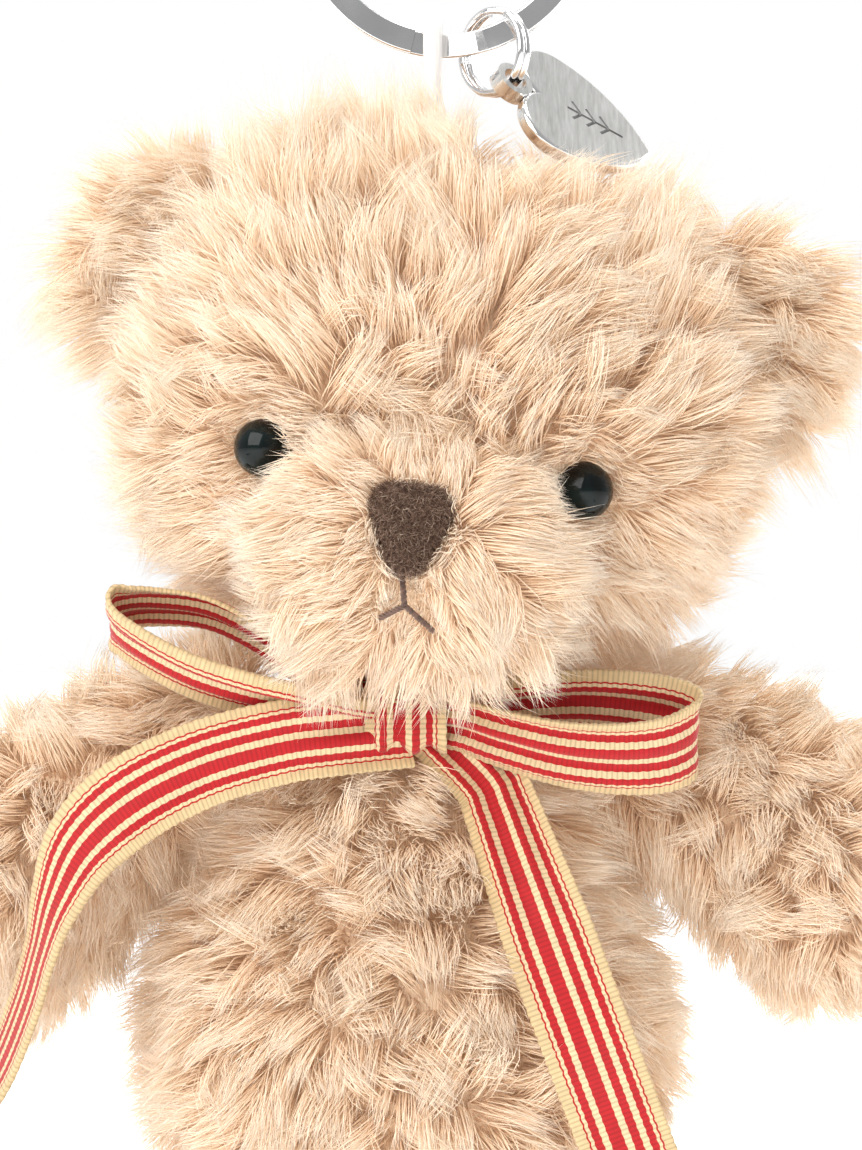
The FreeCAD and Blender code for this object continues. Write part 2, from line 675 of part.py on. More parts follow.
eye_rooms = [eye(side, FELT_GAP) for side in SIDES.values()]
washer_rooms = [washer_room(side) for side in SIDES.values()]
head_shell, head_filling = plush(head_form)
muzzle_shell, muzzle_filling = plush(muzzle_form)
parts["head_plush"] = head_shell.cut([cord_hole] + eye_rooms)
parts["head_filling"] = head_filling.cut([cord_hole, knot_room] + eye_rooms + washer_rooms)
parts["muzzle_plush"] = muzzle_shell.cut([nose(FELT_GAP), mouth(FELT_GAP)] + eye_rooms)
parts["muzzle_filling"] = muzzle_filling
parts["nose"] = nose()
parts["mouth_stitches"] = mouth()
for name, side in SIDES.items():
    parts[name + "_eye"] = eye(side)
    parts[name + "_eye_washer"] = washer(side)
    front, back = ear_panels(side)
    parts[name + "_ear_front"] = front
    parts[name + "_ear_back"] = back
    parts[name + "_arm_plush"], parts[name + "_arm_filling"] = plush(lambda inset: arm_form(name, inset))
    parts[name + "_leg_plush"], parts[name + "_leg_filling"] = plush(lambda inset: leg_form(name, inset))

parts["torso_plush"], parts["torso_filling"] = plush(torso_form)
parts["ribbon_neck_band"] = neck_band()
parts["ribbon_knot"] = bow_knot()
parts["ribbon_loop_left"] = bow_loop(-1, LEFT_LOOP_L, LEFT_LOOP_RISE, LOOP_AHEAD["left"])
parts["ribbon_loop_right"] = bow_loop(1, RIGHT_LOOP_L, RIGHT_LOOP_RISE, LOOP_AHEAD["right"])
parts["ribbon_tail_left"] = left_tail()
parts["ribbon_tail_right"] = right_tail()

os.makedirs("parts", exist_ok=True)
for name, shape in parts.items():
    box = shape.BoundBox
    spans = ((box.XMin, box.XMax), (box.YMin, box.YMax), (box.ZMin, box.ZMax))
    text = "  ".join("%.1f..%.1f" % span for span in spans)
    print(name, shape.isValid(), len(shape.Solids), round(shape.Volume, 2), text)
    shape.exportStep("parts/%s.step" % name)
print("cord length", round(cord_length, 2), "bend radius", round(cord_bend_r, 3))
print("cord volume against section x length", round(cord.Volume, 3),
      round(math.pi * CORD_D ** 2 / 4 * cord_length, 3))
print("cord pivot", pivot, "charm seat", charm_seat, "charm axis", charm_normal)
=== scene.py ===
import math

import bmesh
import bpy
import numpy as np
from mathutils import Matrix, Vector
from mathutils.bvhtree import BVHTree
from mathutils.kdtree import KDTree


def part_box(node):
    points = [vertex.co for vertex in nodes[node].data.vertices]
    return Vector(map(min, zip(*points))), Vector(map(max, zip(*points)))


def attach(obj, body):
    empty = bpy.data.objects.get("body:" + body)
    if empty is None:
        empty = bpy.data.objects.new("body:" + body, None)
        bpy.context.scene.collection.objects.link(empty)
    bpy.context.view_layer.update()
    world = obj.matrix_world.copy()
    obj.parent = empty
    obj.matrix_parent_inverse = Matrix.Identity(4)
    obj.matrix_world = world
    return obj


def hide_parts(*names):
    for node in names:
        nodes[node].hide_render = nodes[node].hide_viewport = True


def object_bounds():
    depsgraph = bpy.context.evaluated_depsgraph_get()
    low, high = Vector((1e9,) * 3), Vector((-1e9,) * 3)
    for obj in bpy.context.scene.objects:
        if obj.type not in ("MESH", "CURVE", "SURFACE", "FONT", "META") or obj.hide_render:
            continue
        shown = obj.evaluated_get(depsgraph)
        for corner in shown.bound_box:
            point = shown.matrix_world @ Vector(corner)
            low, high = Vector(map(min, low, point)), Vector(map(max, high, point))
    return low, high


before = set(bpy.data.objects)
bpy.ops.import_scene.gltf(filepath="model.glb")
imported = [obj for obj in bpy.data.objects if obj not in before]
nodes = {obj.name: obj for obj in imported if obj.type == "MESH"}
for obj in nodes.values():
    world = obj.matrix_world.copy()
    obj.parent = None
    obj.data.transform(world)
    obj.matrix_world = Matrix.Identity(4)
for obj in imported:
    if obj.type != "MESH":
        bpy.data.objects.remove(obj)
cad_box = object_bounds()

# A plush bear on a key ring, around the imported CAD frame.  Lengths are in metres; MM turns
# millimetres into them.  The bear faces -Y, +X is on the viewer's right.
MM = 0.001

# ---- camera
CAMERA_X = -1.7 * MM
CAMERA_Z = -77.5 * MM
CAMERA_BACK = 400 * MM       # in front of the key ring's middle plane
FIELD_H = 133.5 * MM         # height of the view at that plane
SENSOR = 36.0                # millimetres, the longer side of the picture

# ---- plush
HEAD_R = 28.5 * MM           # the head's centre below its top
CHEST_Z = -108 * MM          # a height that sees the whole of the torso
SKIN_INSET = 1.5 * MM        # the backing cloth below the CAD surface of pressed pile
EAR_INSET = 1.0 * MM
SKIN_LEVEL = 5               # subdivisions of the sphere that each skin is drawn from
SKIN_VOXEL = 1.6 * MM
SIM_SCALE = 10.0             # the cloth is simulated this much larger
SIM_FRAMES = 20
PRESSURE = 4.0
SWELL_CAP = 0.8 * MM         # the most that pressure may move the backing
WADDING_VOXEL = 2.0 * MM
HAIR_AT = (0.0, 0.34, 0.68, 1.0)          # the rings of a hair, then its tip
HAIR_TAPER = (1.0, 0.92, 0.62)
HAIR_SIDES = 3
HAIRS_A_PIECE = 12000
HAIR_SHARE = 1.0
FELT_VOXEL = 0.4 * MM
FELT_ROUNDS = 45             # smoothing steps that round the nose's corners
NAP_HAIRS = 5200

# ---- ribbon
RIBBON_W = 10.0 * MM
RIBBON_T = 0.45 * MM
WEFT_PITCH = 0.55 * MM
PICOT_PITCH = 1.1 * MM
PICOT = 0.16 * MM
STATION = 0.1375 * MM        # between the rows of points along the ribbon
ACROSS = 31                  # points across it
TAIL_LEAN = 20.5             # degrees, the right tail from straight down
TAIL_SIDE = 6.5 * MM         # its middle line from the knot's middle
KNOT_POWER = 0.55            # under 1 squares the knot's round
ROOT_IN = 1.6 * MM           # how far a loop's ends go into the knot
# each loop: shares of its reach, millimetres behind its front, millimetres above the knot's
# middle; then how far its upper edge leans to the viewer, in degrees
BOW_LOOPS = {
    -1: ([(0.06, 1.4, 0.6), (0.24, 0.8, 1.8), (0.45, 0.4, 3.1), (0.66, 0.4, 5.0),
          (0.84, 1.0, 7.6), (0.965, 2.4, 10.2), (0.955, 4.2, 12.0), (0.82, 5.4, 12.6),
          (0.58, 5.8, 11.6), (0.30, 5.4, 7.2), (0.08, 4.2, 2.4)], 62),
    1: ([(0.06, 1.0, -0.4), (0.22, 0.2, -1.8), (0.45, -0.2, -3.4), (0.68, 0.0, -4.0),
         (0.86, 0.6, -3.6), (0.975, 2.4, -2.2), (0.97, 4.4, -0.5), (0.82, 6.0, 0.8),
         (0.55, 6.3, 1.6), (0.28, 5.6, 1.2), (0.08, 4.2, 0.4)], 24),
}
# the left tail: millimetres from the knot's side to the right, back and up
LEFT_TAIL = [(5.5, 2.2, 0.8), (-3, 0.4, 0.1), (-9, 0.0, -0.7), (-17.6, -0.5, -3.1),
             (-25.2, -0.7, -7.0), (-30.6, -0.5, -12.0), (-33.6, 0.0, -18.0), (-35.4, 0.5, -24.0),
             (-37.0, 1.0, -29.4), (-39.6, 1.6, -36.0), (-42.2, 2.0, -40.5)]

scene = bpy.context.scene


# ------------------------------------------------------------------ small helpers
def unit(v):
    return v / np.maximum(np.linalg.norm(v, axis=-1, keepdims=True), 1e-12)


def smooth01(x):
    x = np.clip(x, 0.0, 1.0)
    return x * x * (3 - 2 * x)


def box(node):
    low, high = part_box(node)
    return np.array(low), np.array(high)


def middle(node):
    low, high = box(node)
    return (low + high) / 2


def leg_centre(node):
    """A point above the foot that sees the whole of a leg."""
    return np.array([middle(node)[0], 0.0, box(node)[0][2] + 13 * MM])


def shown_mesh(piece):
    """The points and triangles of a piece as it shows."""
    seen = piece.evaluated_get(bpy.context.evaluated_depsgraph_get())
    mesh = seen.to_mesh()
    mesh.calc_loop_triangles()
    points = np.zeros(len(mesh.vertices) * 3)
    tris = np.zeros(len(mesh.loop_triangles) * 3, np.int32)
    mesh.vertices.foreach_get("co", points)
    mesh.loop_triangles.foreach_get("vertices", tris)
    seen.to_mesh_clear()
    return points.reshape(-1, 3), tris.reshape(-1, 3)


def tree_of(pieces):
    points, tris, start = [], [], 0
    for piece in pieces:
        p, t = shown_mesh(piece)
        points.append(p)
        tris.append(t + start)
        start += len(p)
    return BVHTree.FromPolygons(np.concatenate(points).tolist(), np.concatenate(tris).tolist())


def per_point(piece, what):
    """One vector for each point of a piece's mesh: its place, "co", or its "normal"."""
    out = np.zeros(len(piece.data.vertices) * 3)
    piece.data.vertices.foreach_get(what, out)
    return out.reshape(-1, 3)


def put_points(piece, points):
    piece.data.vertices.foreach_set("co", points.ravel())
    piece.data.update()


def placed(name, data, body, material):
    """A new piece from a mesh or a curve."""
    data.materials.clear()
    data.materials.append(material)
    piece = bpy.data.objects.new(name, data)
    scene.collection.objects.link(piece)
    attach(piece, body)
    return piece


def add_piece(name, points, faces, body, material):
    mesh = bpy.data.meshes.new(name)
    mesh.from_pydata(points, [], faces)
    mesh.shade_smooth()
    return placed(name, mesh, body, material)


def front_of(node, depth):
    """The middle of the part of a node that is nearest the viewer."""
    points, _ = shown_mesh(nodes[node])
    near = points[points[:, 1] < points[:, 1].min() + depth]
    return np.array([(near[:, 0].min() + near[:, 0].max()) / 2, near[:, 1].min(),
                     (near[:, 2].min() + near[:, 2].max()) / 2])


# ------------------------------------------------------------------ materials
class Nodes:
    """Short ways to add nodes to a tree."""

    def __init__(self, tree):
        self.tree = tree

    def node(self, kind, links=(), **values):
        made = self.tree.nodes.new("ShaderNode" + kind)
        for key, value in values.items():
            setattr(made, key, value)
        for key, value in dict(links).items():
            if isinstance(value, bpy.types.NodeSocket):
                self.tree.links.new(value, made.inputs[key])
            else:
                made.inputs[key].default_value = value
        return made

    def ramp(self, fac, stops, interpolation="LINEAR"):
        made = self.node("ValToRGB", {"Fac": fac})
        ramp = made.color_ramp
        ramp.interpolation = interpolation
        while len(ramp.elements) < len(stops):
            ramp.elements.new(1.0)
        for element, (at, colour) in zip(ramp.elements, stops):
            element.position = at
            element.color = (*colour, 1)
        return made.outputs["Color"]

    def noise(self, scale, vector=None, detail=3.0, rough=0.5):
        links = {"Scale": scale, "Detail": detail, "Roughness": rough}
        if vector is not None:
            links["Vector"] = vector
        return self.node("TexNoise", links).outputs["Fac"]

    def mixed(self, fac, a, b, kind="MIX"):
        made = self.node("Mix", data_type="RGBA", blend_type=kind)
        for socket, value in ((made.inputs[0], fac), (made.inputs[6], a), (made.inputs[7], b)):
            if isinstance(value, bpy.types.NodeSocket):
                self.tree.links.new(value, socket)
            elif isinstance(value, tuple):
                socket.default_value = (*value, 1)
            else:
                socket.default_value = value
        return made.outputs[2]

    def math(self, operation, a, b=0.0, clamp=False):
        made = self.node("Math", {0: a, 1: b}, operation=operation, use_clamp=clamp)
        return made.outputs[0]

    def uv(self, layer):
        split = self.node("SeparateXYZ", {0: self.node("UVMap", uv_map=layer).outputs[0]})
        return split.outputs[0], split.outputs[1]

    def coords(self, which="Object"):
        return self.node("TexCoord").outputs[which]

    def scaled(self, vector, scale):
        return self.node("Mapping", {"Vector": vector, "Scale": scale}).outputs[0]


class Look(Nodes):
    """A material on one Principled shader."""

    def __init__(self, name, colour, roughness, **inputs):
        self.material = bpy.data.materials.new(name)
        self.material.use_nodes = True
        super().__init__(self.material.node_tree)
        self.shader = self.tree.nodes["Principled BSDF"]
        self.shader.inputs["Base Color"].default_value = (*colour, 1)
        self.shader.inputs["Roughness"].default_value = roughness
        for key, value in inputs.items():
            self.shader.inputs[key.replace("_", " ")].default_value = value

    def bump(self, height, strength, distance):
        links = {"Height": height, "Strength": strength, "Distance": distance}
        self.link(self.node("Bump", links).outputs[0], "Normal")

    def link(self, socket, name):
        self.tree.links.new(socket, self.shader.inputs[name])


def pile_look():
    """Plush pile: darker and warmer towards the roots as painted shade deep in the pile, pale at the
    tips, each lock of its own tone.
    """
    # painted light: a faint peach emission on every hair brightens the shade inside the pile
    look = Look("plush_pile", (0.85, 0.66, 0.46), 0.6, Specular_IOR_Level=0.3, Sheen_Weight=0.25,
                Emission_Color=(1.0, 0.70, 0.46, 1.0), Emission_Strength=0.08)
    tone, along = look.uv("OFBake")
    # painted shade: the colour darkens from the tips down to the roots, where shade falls inside the
    # pile
    along = look.ramp(along, [
        (0.0, (0.92, 0.65, 0.45)),
        (0.3, (0.97, 0.76, 0.56)),
        (0.65, (0.98, 0.82, 0.65)),
        (1.0, (0.99, 0.89, 0.77)),
    ])
    tone = look.ramp(tone, [
        (0.0, (0.92, 0.83, 0.74)),
        (0.35, (0.98, 0.96, 0.93)),
        (0.7, (1.0, 0.985, 0.96)),
        (1.0, (1.0, 0.92, 0.85)),
    ])
    look.link(look.mixed(1.0, along, tone, "MULTIPLY"), "Base Color")
    return look.material


def backing_shade_look():
    # the knit backing under the pile, coloured a darker tan than the pile as painted shade between the
    # tufts
    look = Look("plush_backing", (0.80, 0.60, 0.43), 0.85, Specular_IOR_Level=0.2)
    coords = look.coords()
    broad = look.noise(90.0, coords, 4.0)
    look.link(look.ramp(broad, [(0.3, (0.70, 0.48, 0.31)), (0.7, (0.86, 0.67, 0.49))]), "Base Color")
    knit = look.node("TexWave", {"Vector": coords, "Scale": 900.0, "Distortion": 2.0})
    look.bump(look.math("ADD", knit.outputs["Fac"], broad), 0.5, 0.15 * MM)
    return look.material


def wadding_look():
    look = Look("fibre_wadding", (0.90, 0.88, 0.83), 0.9, Sheen_Weight=0.3)
    fine = look.noise(500.0, look.scaled(look.coords(), (1.0, 3.0, 1.0)), 6.0, 0.7)
    look.link(look.ramp(fine, [(0.3, (0.78, 0.75, 0.69)), (0.7, (0.95, 0.94, 0.90))]), "Base Color")
    look.bump(fine, 0.8, 0.4 * MM)
    return look.material


def felt_look():
    look = Look("brown_felt", (0.11, 0.055, 0.035), 0.9, Specular_IOR_Level=0.2, Sheen_Weight=0.4)
    coords = look.coords()
    fibres = look.noise(1400.0, look.scaled(coords, (1.0, 1.0, 0.35)), 6.0, 0.75)
    broad = look.noise(350.0, coords, 4.0)
    colour = look.ramp(fibres, [(0.32, (0.065, 0.032, 0.020)), (0.5, (0.15, 0.082, 0.055)),
                                (0.72, (0.34, 0.225, 0.165))])
    look.link(look.mixed(look.math("MULTIPLY", broad, 0.4), colour, (0.16, 0.085, 0.06)), "Base Color")
    look.bump(fibres, 0.9, 0.12 * MM)
    return look.material


def nap_look():
    look = Look("felt_nap", (0.14, 0.075, 0.05), 0.7, Specular_IOR_Level=0.3)
    look.link(look.ramp(look.uv("OFBake")[0], [
        (0.0, (0.09, 0.045, 0.030)),
        (0.70, (0.22, 0.135, 0.095)),
        (0.90, (0.40, 0.28, 0.21)),
        (1.0, (0.80, 0.64, 0.50)),
    ]), "Base Color")
    return look.material


def thread_look():
    look = Look("brown_thread", (0.10, 0.045, 0.03), 0.6, Sheen_Weight=0.3)
    fibres = look.noise(1500.0, look.coords(), 4.0)
    look.link(look.ramp(fibres, [(0.3, (0.05, 0.022, 0.015)), (0.7, (0.17, 0.09, 0.06))]), "Base Color")
    return look.material


def eye_look():
    look = Look("eye_gloss", (0.006, 0.009, 0.009), 0.07, Specular_IOR_Level=0.2,
                Coat_Weight=0.1, Coat_Roughness=0.03)
    cloud = look.noise(260.0, look.coords(), 2.0)
    look.link(look.ramp(cloud, [(0.35, (0.002, 0.003, 0.003)), (0.75, (0.008, 0.020, 0.020))]),
              "Base Color")
    scuffs = look.noise(2500.0, look.coords(), 2.0)
    look.link(look.ramp(scuffs, [(0.45, (0.05,) * 3), (0.8, (0.12,) * 3)]), "Roughness")
    return look.material


def washer_look():
    look = Look("washer_plastic", (0.82, 0.81, 0.77), 0.45)
    fine = look.noise(800.0, look.coords(), 3.0)
    look.link(look.ramp(fine, [(0.3, (0.76, 0.75, 0.71)), (0.7, (0.86, 0.85, 0.81))]), "Base Color")
    look.bump(fine, 0.2, 0.05 * MM)
    return look.material


def polished_look():
    look = Look("polished_steel", (0.80, 0.80, 0.80), 0.1, Metallic=1.0)
    coords = look.coords()
    smudge = look.noise(160.0, coords, 4.0)
    scratch = look.noise(1200.0, look.scaled(coords, (1.0, 0.15, 1.0)), 3.0)
    look.link(look.ramp(smudge, [(0.35, (0.05,) * 3), (0.75, (0.16,) * 3)]), "Roughness")
    look.link(look.ramp(smudge, [(0.3, (0.76, 0.76, 0.77)), (0.7, (0.86, 0.86, 0.86))]), "Base Color")
    look.bump(scratch, 0.08, 0.02 * MM)
    return look.material


def charm_look():
    """Brushed across its faces, polished round the rim, dark in the engraved lines."""
    look = Look("brushed_steel", (0.56, 0.56, 0.55), 0.35, Metallic=1.0)
    points, tris = shown_mesh(nodes["heart_charm"])
    corner = points[tris]
    normal = np.cross(corner[:, 1] - corner[:, 0], corner[:, 2] - corner[:, 0])
    size = np.linalg.norm(normal, axis=1)
    order = np.argsort(size)[-40:]
    axis = unit(normal[order] * np.sign(normal[order] @ np.array([0.0, -1.0, 0.0]))[:, None])
    axis = unit(axis.mean(0))
    levels = points @ axis
    face = levels.max()
    coords = look.coords()
    along = tuple(float(x) for x in axis)
    level = look.node("VectorMath", {0: coords, 1: along}, operation="DOT_PRODUCT").outputs["Value"]
    facing = look.node("VectorMath", {0: look.coords("Normal"), 1: along}, operation="DOT_PRODUCT")
    flat = look.math("GREATER_THAN", look.math("ABSOLUTE", facing.outputs["Value"]), 0.97)
    grain = look.noise(420.0, look.scaled(coords, (6.0, 0.6, 0.6)), 5.0, 0.6)
    brushed = look.ramp(grain, [(0.3, (0.40, 0.40, 0.39)), (0.7, (0.62, 0.62, 0.61))])
    bright = look.mixed(flat, (0.84, 0.84, 0.84), brushed)
    sunk = look.math("LESS_THAN", level, float(face - 0.08 * MM))
    cut = look.math("MULTIPLY", sunk, look.math("GREATER_THAN", level, float(face - 0.3 * MM)))
    cut = look.math("MULTIPLY", cut, flat)
    look.link(look.mixed(cut, bright, (0.10, 0.10, 0.10)), "Base Color")
    look.link(look.mixed(flat, (0.08,) * 3, (0.38,) * 3), "Roughness")
    look.bump(grain, 0.12, 0.03 * MM)
    return look.material


def cord_look():
    look = Look("satin_cord", (0.90, 0.90, 0.88), 0.42, Sheen_Weight=0.4, Specular_IOR_Level=0.5)
    coords = look.coords()
    fine = look.noise(900.0, look.scaled(coords, (6.0, 6.0, 0.4)), 5.0, 0.65)
    look.link(look.ramp(fine, [(0.3, (0.76, 0.75, 0.73)), (0.65, (0.93, 0.93, 0.92))]), "Base Color")
    look.bump(fine, 0.6, 0.12 * MM)
    return look.material


def ribbon_look():
    """Red stripes woven along a cream ribbon, by the share of its width."""
    look = Look("striped_ribbon", (0.85, 0.70, 0.45), 0.62, Specular_IOR_Level=0.25, Sheen_Weight=0.2)
    over, along = look.uv("Weave")
    border = (0.72, 0.53, 0.29)
    cream = (0.80, 0.61, 0.37)
    red = (0.50, 0.010, 0.014)
    stripes = [(0.0, border), (0.122, red), (0.143, cream), (0.182, red), (0.272, cream), (0.345, red),
               (0.50, cream), (0.575, red), (0.675, cream), (0.75, red), (0.83, cream), (0.865, red),
               (0.886, border)]
    colour = look.ramp(over, stripes, "CONSTANT")
    yarn = look.noise(700.0, look.coords(), 4.0, 0.6)
    worn = look.ramp(yarn, [(0.3, (0.80, 0.80, 0.80)), (0.7, (1.0, 1.0, 1.0))])
    colour = look.mixed(0.75, colour, worn, "MULTIPLY")
    # painted shade: the colour is multiplied darker in the hollow between each weft rib and the next,
    # where shade falls
    pick = look.math("SINE", look.math("MULTIPLY", along, 2 * math.pi))
    rib_shade = look.ramp(look.math("MULTIPLY_ADD", pick, 0.5), [(0.0, (0.60,) * 3), (0.55, (1.0,) * 3)])
    look.link(look.mixed(0.7, colour, rib_shade, "MULTIPLY"), "Base Color")
    look.bump(yarn, 0.35, 0.05 * MM)
    return look.material


# ------------------------------------------------------------------ camera, light, floor
def light_world():
    """White to look at; as light it is bright behind the object and dimmer in front of it, so
    that steel has something dark to reflect."""
    world = bpy.data.worlds.new("studio")
    world.use_nodes = True
    scene.world = world
    made = Nodes(world.node_tree)
    back = made.node("SeparateXYZ", {0: made.coords("Generated")}).outputs[1]
    levels = made.ramp(made.math("MULTIPLY_ADD", back, 0.5),
                       [(0.0, (0.40,) * 3), (0.30, (0.50,) * 3), (0.55, (0.72,) * 3), (1.0, (1.0,) * 3)])
    lit = made.tree.nodes["Background"]
    made.tree.links.new(levels, lit.inputs["Color"])
    seen = made.node("Background", {"Color": (1, 1, 1, 1)})
    to_camera = made.node("LightPath").outputs["Is Camera Ray"]
    mix = made.node("MixShader", {0: to_camera, 1: lit.outputs[0], 2: seen.outputs[0]})
    made.tree.links.new(mix.outputs[0], made.tree.nodes["World Output"].inputs["Surface"])
    scene.view_settings.view_transform = "Standard"


def studio():
    lens = bpy.data.cameras.new("camera")
    lens.sensor_width = SENSOR
    lens.lens = SENSOR * CAMERA_BACK / FIELD_H
    lens.clip_start = 10 * MM
    camera = bpy.data.objects.new("camera", lens)
    camera.location = (CAMERA_X, -CAMERA_BACK, CAMERA_Z)
    camera.rotation_euler = (math.radians(90), 0, 0)
    scene.collection.objects.link(camera)
    scene.camera = camera
    light_world()
    for name, spot, size, power in (
        ("key", (-0.45, -0.62, 0.42), 0.80, 7.6),
        ("top", (0.10, 0.05, 0.75), 0.50, 3.0),
        ("rim", (0.45, 0.40, 0.15), 0.30, 2.0),
    ):
        lamp = bpy.data.lights.new(name, "AREA")
        lamp.size = size
        lamp.energy = power
        lamp.color = (1.0, 0.98, 0.95)
        light = bpy.data.objects.new(name, lamp)
        light.location = spot
        aim = Vector((-0.005, 0, -0.08)) - Vector(spot)
        light.rotation_euler = aim.to_track_quat("-Z", "Y").to_euler()
        scene.collection.objects.link(light)
    look = Look("studio_floor", (0.93, 0.93, 0.92), 0.8, Emission_Color=(1, 1, 1, 1),
                Emission_Strength=0.62)
    fine = look.noise(12.0, look.coords(), 3.0)
    look.link(look.ramp(fine, [(0.3, (0.925, 0.925, 0.92)), (0.7, (0.935, 0.935, 0.93))]), "Base Color")
    bpy.ops.mesh.primitive_plane_add(size=8)
    floor = bpy.context.object
    floor.name = "floor"
    floor.location.z = cad_box[0][2] - 5 * MM
    floor.data.materials.append(look.material)


# ------------------------------------------------------------------ hanging cord
def hanging_cord():
    low, high = box("hanging_cord")
    width = high[0] - low[0]
    x = (low[0] + high[0]) / 2
    front = low[1] + width / 2
    rear = high[1] - width / 2
    top = high[2] - width / 2
    points = [
        (x, front, low[2]), (x, front, low[2] + 9 * MM), (x, front, top - 4.6 * MM),
        (x, front, top), (x, rear, top),
        (x, rear, top - 4.6 * MM), (x, rear, low[2] + 9 * MM), (x, rear, low[2]),
    ]
    curve = bpy.data.curves.new("hanging_cord_line", "CURVE")
    curve.dimensions = "3D"
    curve.bevel_depth = width / 2
    curve.bevel_resolution = 6
    curve.resolution_u = 10
    curve.use_fill_caps = True
    spline = curve.splines.new("NURBS")
    spline.points.add(len(points) - 1)
    for point, at in zip(spline.points, points):
        point.co = (*at, 1)
    spline.order_u = 3
    spline.use_endpoint_u = True
    piece = placed("hanging_cord_satin", curve, "head", looks["cord"])
    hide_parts("hanging_cord")
    return piece


# ------------------------------------------------------------------ skins and wadding
def outside(name, covered, centre, body, inset=SKIN_INSET):
    """A closed skin just inside the CAD surface, met by rays from outside towards a centre
    that sees the whole of it."""
    tree = tree_of([nodes[n] for n in covered])
    ball = bmesh.new()
    bmesh.ops.create_icosphere(ball, subdivisions=SKIN_LEVEL, radius=1.0)
    centre = Vector(centre)
    for v in ball.verts:
        ray = v.co.normalized()
        hit, normal, _, _ = tree.ray_cast(centre + ray * 0.2, -ray)
        if normal.dot(ray) < 0:
            normal = -normal
        v.co = hit - normal * inset
    mesh = bpy.data.meshes.new(name)
    ball.to_mesh(mesh)
    ball.free()
    # the skin takes the backing's darker colour, painted shade that shows between the tufts
    piece = placed(name, mesh, body, looks["backing"])
    remesh(piece, SKIN_VOXEL)
    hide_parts(*covered)
    return piece


def remesh(piece, voxel):
    modifier = piece.modifiers.new("remesh", "REMESH")
    modifier.mode = "VOXEL"
    modifier.voxel_size = voxel
    seen = piece.evaluated_get(bpy.context.evaluated_depsgraph_get())
    mesh = bpy.data.meshes.new_from_object(seen)
    mesh.materials.clear()
    for material in piece.data.materials:
        mesh.materials.append(material)
    piece.modifiers.clear()
    piece.data = mesh
    mesh.shade_smooth()


def swell(pieces):
    """Cloth pressure swells every skin a little, and the seams' hollows stay."""
    at_rest = {}
    for piece in pieces:
        at_rest[piece.name] = per_point(piece, "co")
        put_points(piece, at_rest[piece.name] * SIM_SCALE)
        cloth = piece.modifiers.new("cloth", "CLOTH").settings
        cloth.use_pressure = True
        cloth.uniform_pressure_force = PRESSURE
        cloth.effector_weights.gravity = 0
    for number in range(1, SIM_FRAMES + 1):
        scene.frame_set(number)
    for piece in pieces:
        moved, _ = shown_mesh(piece)
        rest = at_rest[piece.name]
        step = moved / SIM_SCALE - rest
        size = np.linalg.norm(step, axis=1, keepdims=True)
        step *= np.minimum(1.0, SWELL_CAP / np.maximum(size, 1e-9))
        piece.modifiers.clear()
        put_points(piece, rest + step)
    scene.frame_set(1)


def wadding(node, body, seed):
    """Fibre filling: the CAD solid's shape, lumpy."""
    piece = placed(node + "_wadding", nodes[node].data.copy(), body, looks["wadding"])
    remesh(piece, WADDING_VOXEL)
    points = per_point(piece, "co")
    lumps = swirl(points, 7 * MM, seed)[:, :1]
    put_points(piece, points - per_point(piece, "normal") * (0.5 + 0.45 * lumps) * MM)
    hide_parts(node)


# ------------------------------------------------------------------ fur
def swirl(points, size, seed):
    """A smooth random vector at every point, about 1 long, turning over `size` metres."""
    draw = np.random.default_rng(seed)
    total = np.zeros((len(points), 3))
    for _ in range(6):
        wave = unit(draw.normal(size=3)) / size * draw.uniform(0.6, 1.5)
        phase = points @ wave * 2 * math.pi + draw.uniform(0, 2 * math.pi)
        total += np.sin(phase)[:, None] * draw.normal(size=3)
    return total / math.sqrt(6)


def scatter(skin, count, draw, back_share):
    """Roots over a skin, thinner on the far side, with the skin's smooth normals."""
    points, tris = shown_mesh(skin)
    normals = per_point(skin, "normal")
    a, b, c = (points[tris[:, i]] for i in range(3))
    face_normal = np.cross(b - a, c - a)
    area = np.linalg.norm(face_normal, axis=1) / 2
    facing = -unit(face_normal)[:, 1]
    weight = area * (back_share + (1 - back_share) * smooth01(facing + 0.6))
    chosen = draw.choice(len(tris), size=count, p=weight / weight.sum())
    u, v = draw.random(count), draw.random(count)
    over = u + v > 1
    u[over], v[over] = 1 - u[over], 1 - v[over]
    share = np.stack([1 - u - v, u, v], 1)[:, :, None]
    root = (points[tris[chosen]] * share).sum(1)
    normal = unit((normals[tris[chosen]] * share).sum(1))
    return root, normal


def hair_lines(root, normal, heading, length, lean, curl):
    """Points along hairs that leave the skin lean[0] radians from its normal and end at
    lean[1], turning sideways by curl."""
    side = np.cross(normal, heading)
    lines = [root]
    for a, b in zip(HAIR_AT[:-1], HAIR_AT[1:]):
        mid = (a + b) / 2
        tilt = (lean[0] * (1 - mid) + lean[1] * mid)[:, None]
        turn = (curl * mid)[:, None]
        along = np.cos(turn) * heading + np.sin(turn) * side
        step = np.cos(tilt) * normal + np.sin(tilt) * along
        lines.append(lines[-1] + step * (length * (b - a))[:, None])
    return np.stack(lines, 1)


def tangent(vectors, normal):
    return unit(vectors - (vectors * normal).sum(1, keepdims=True) * normal)


def in_shape(tree, points):
    """Which points are inside a closed skin."""
    inside = np.zeros(len(points), bool)
    for i, p in enumerate(points.tolist()):
        near, normal, _, _ = tree.find_nearest(p)
        inside[i] = normal is not None and (Vector(p) - near).dot(normal) < 0
    return inside


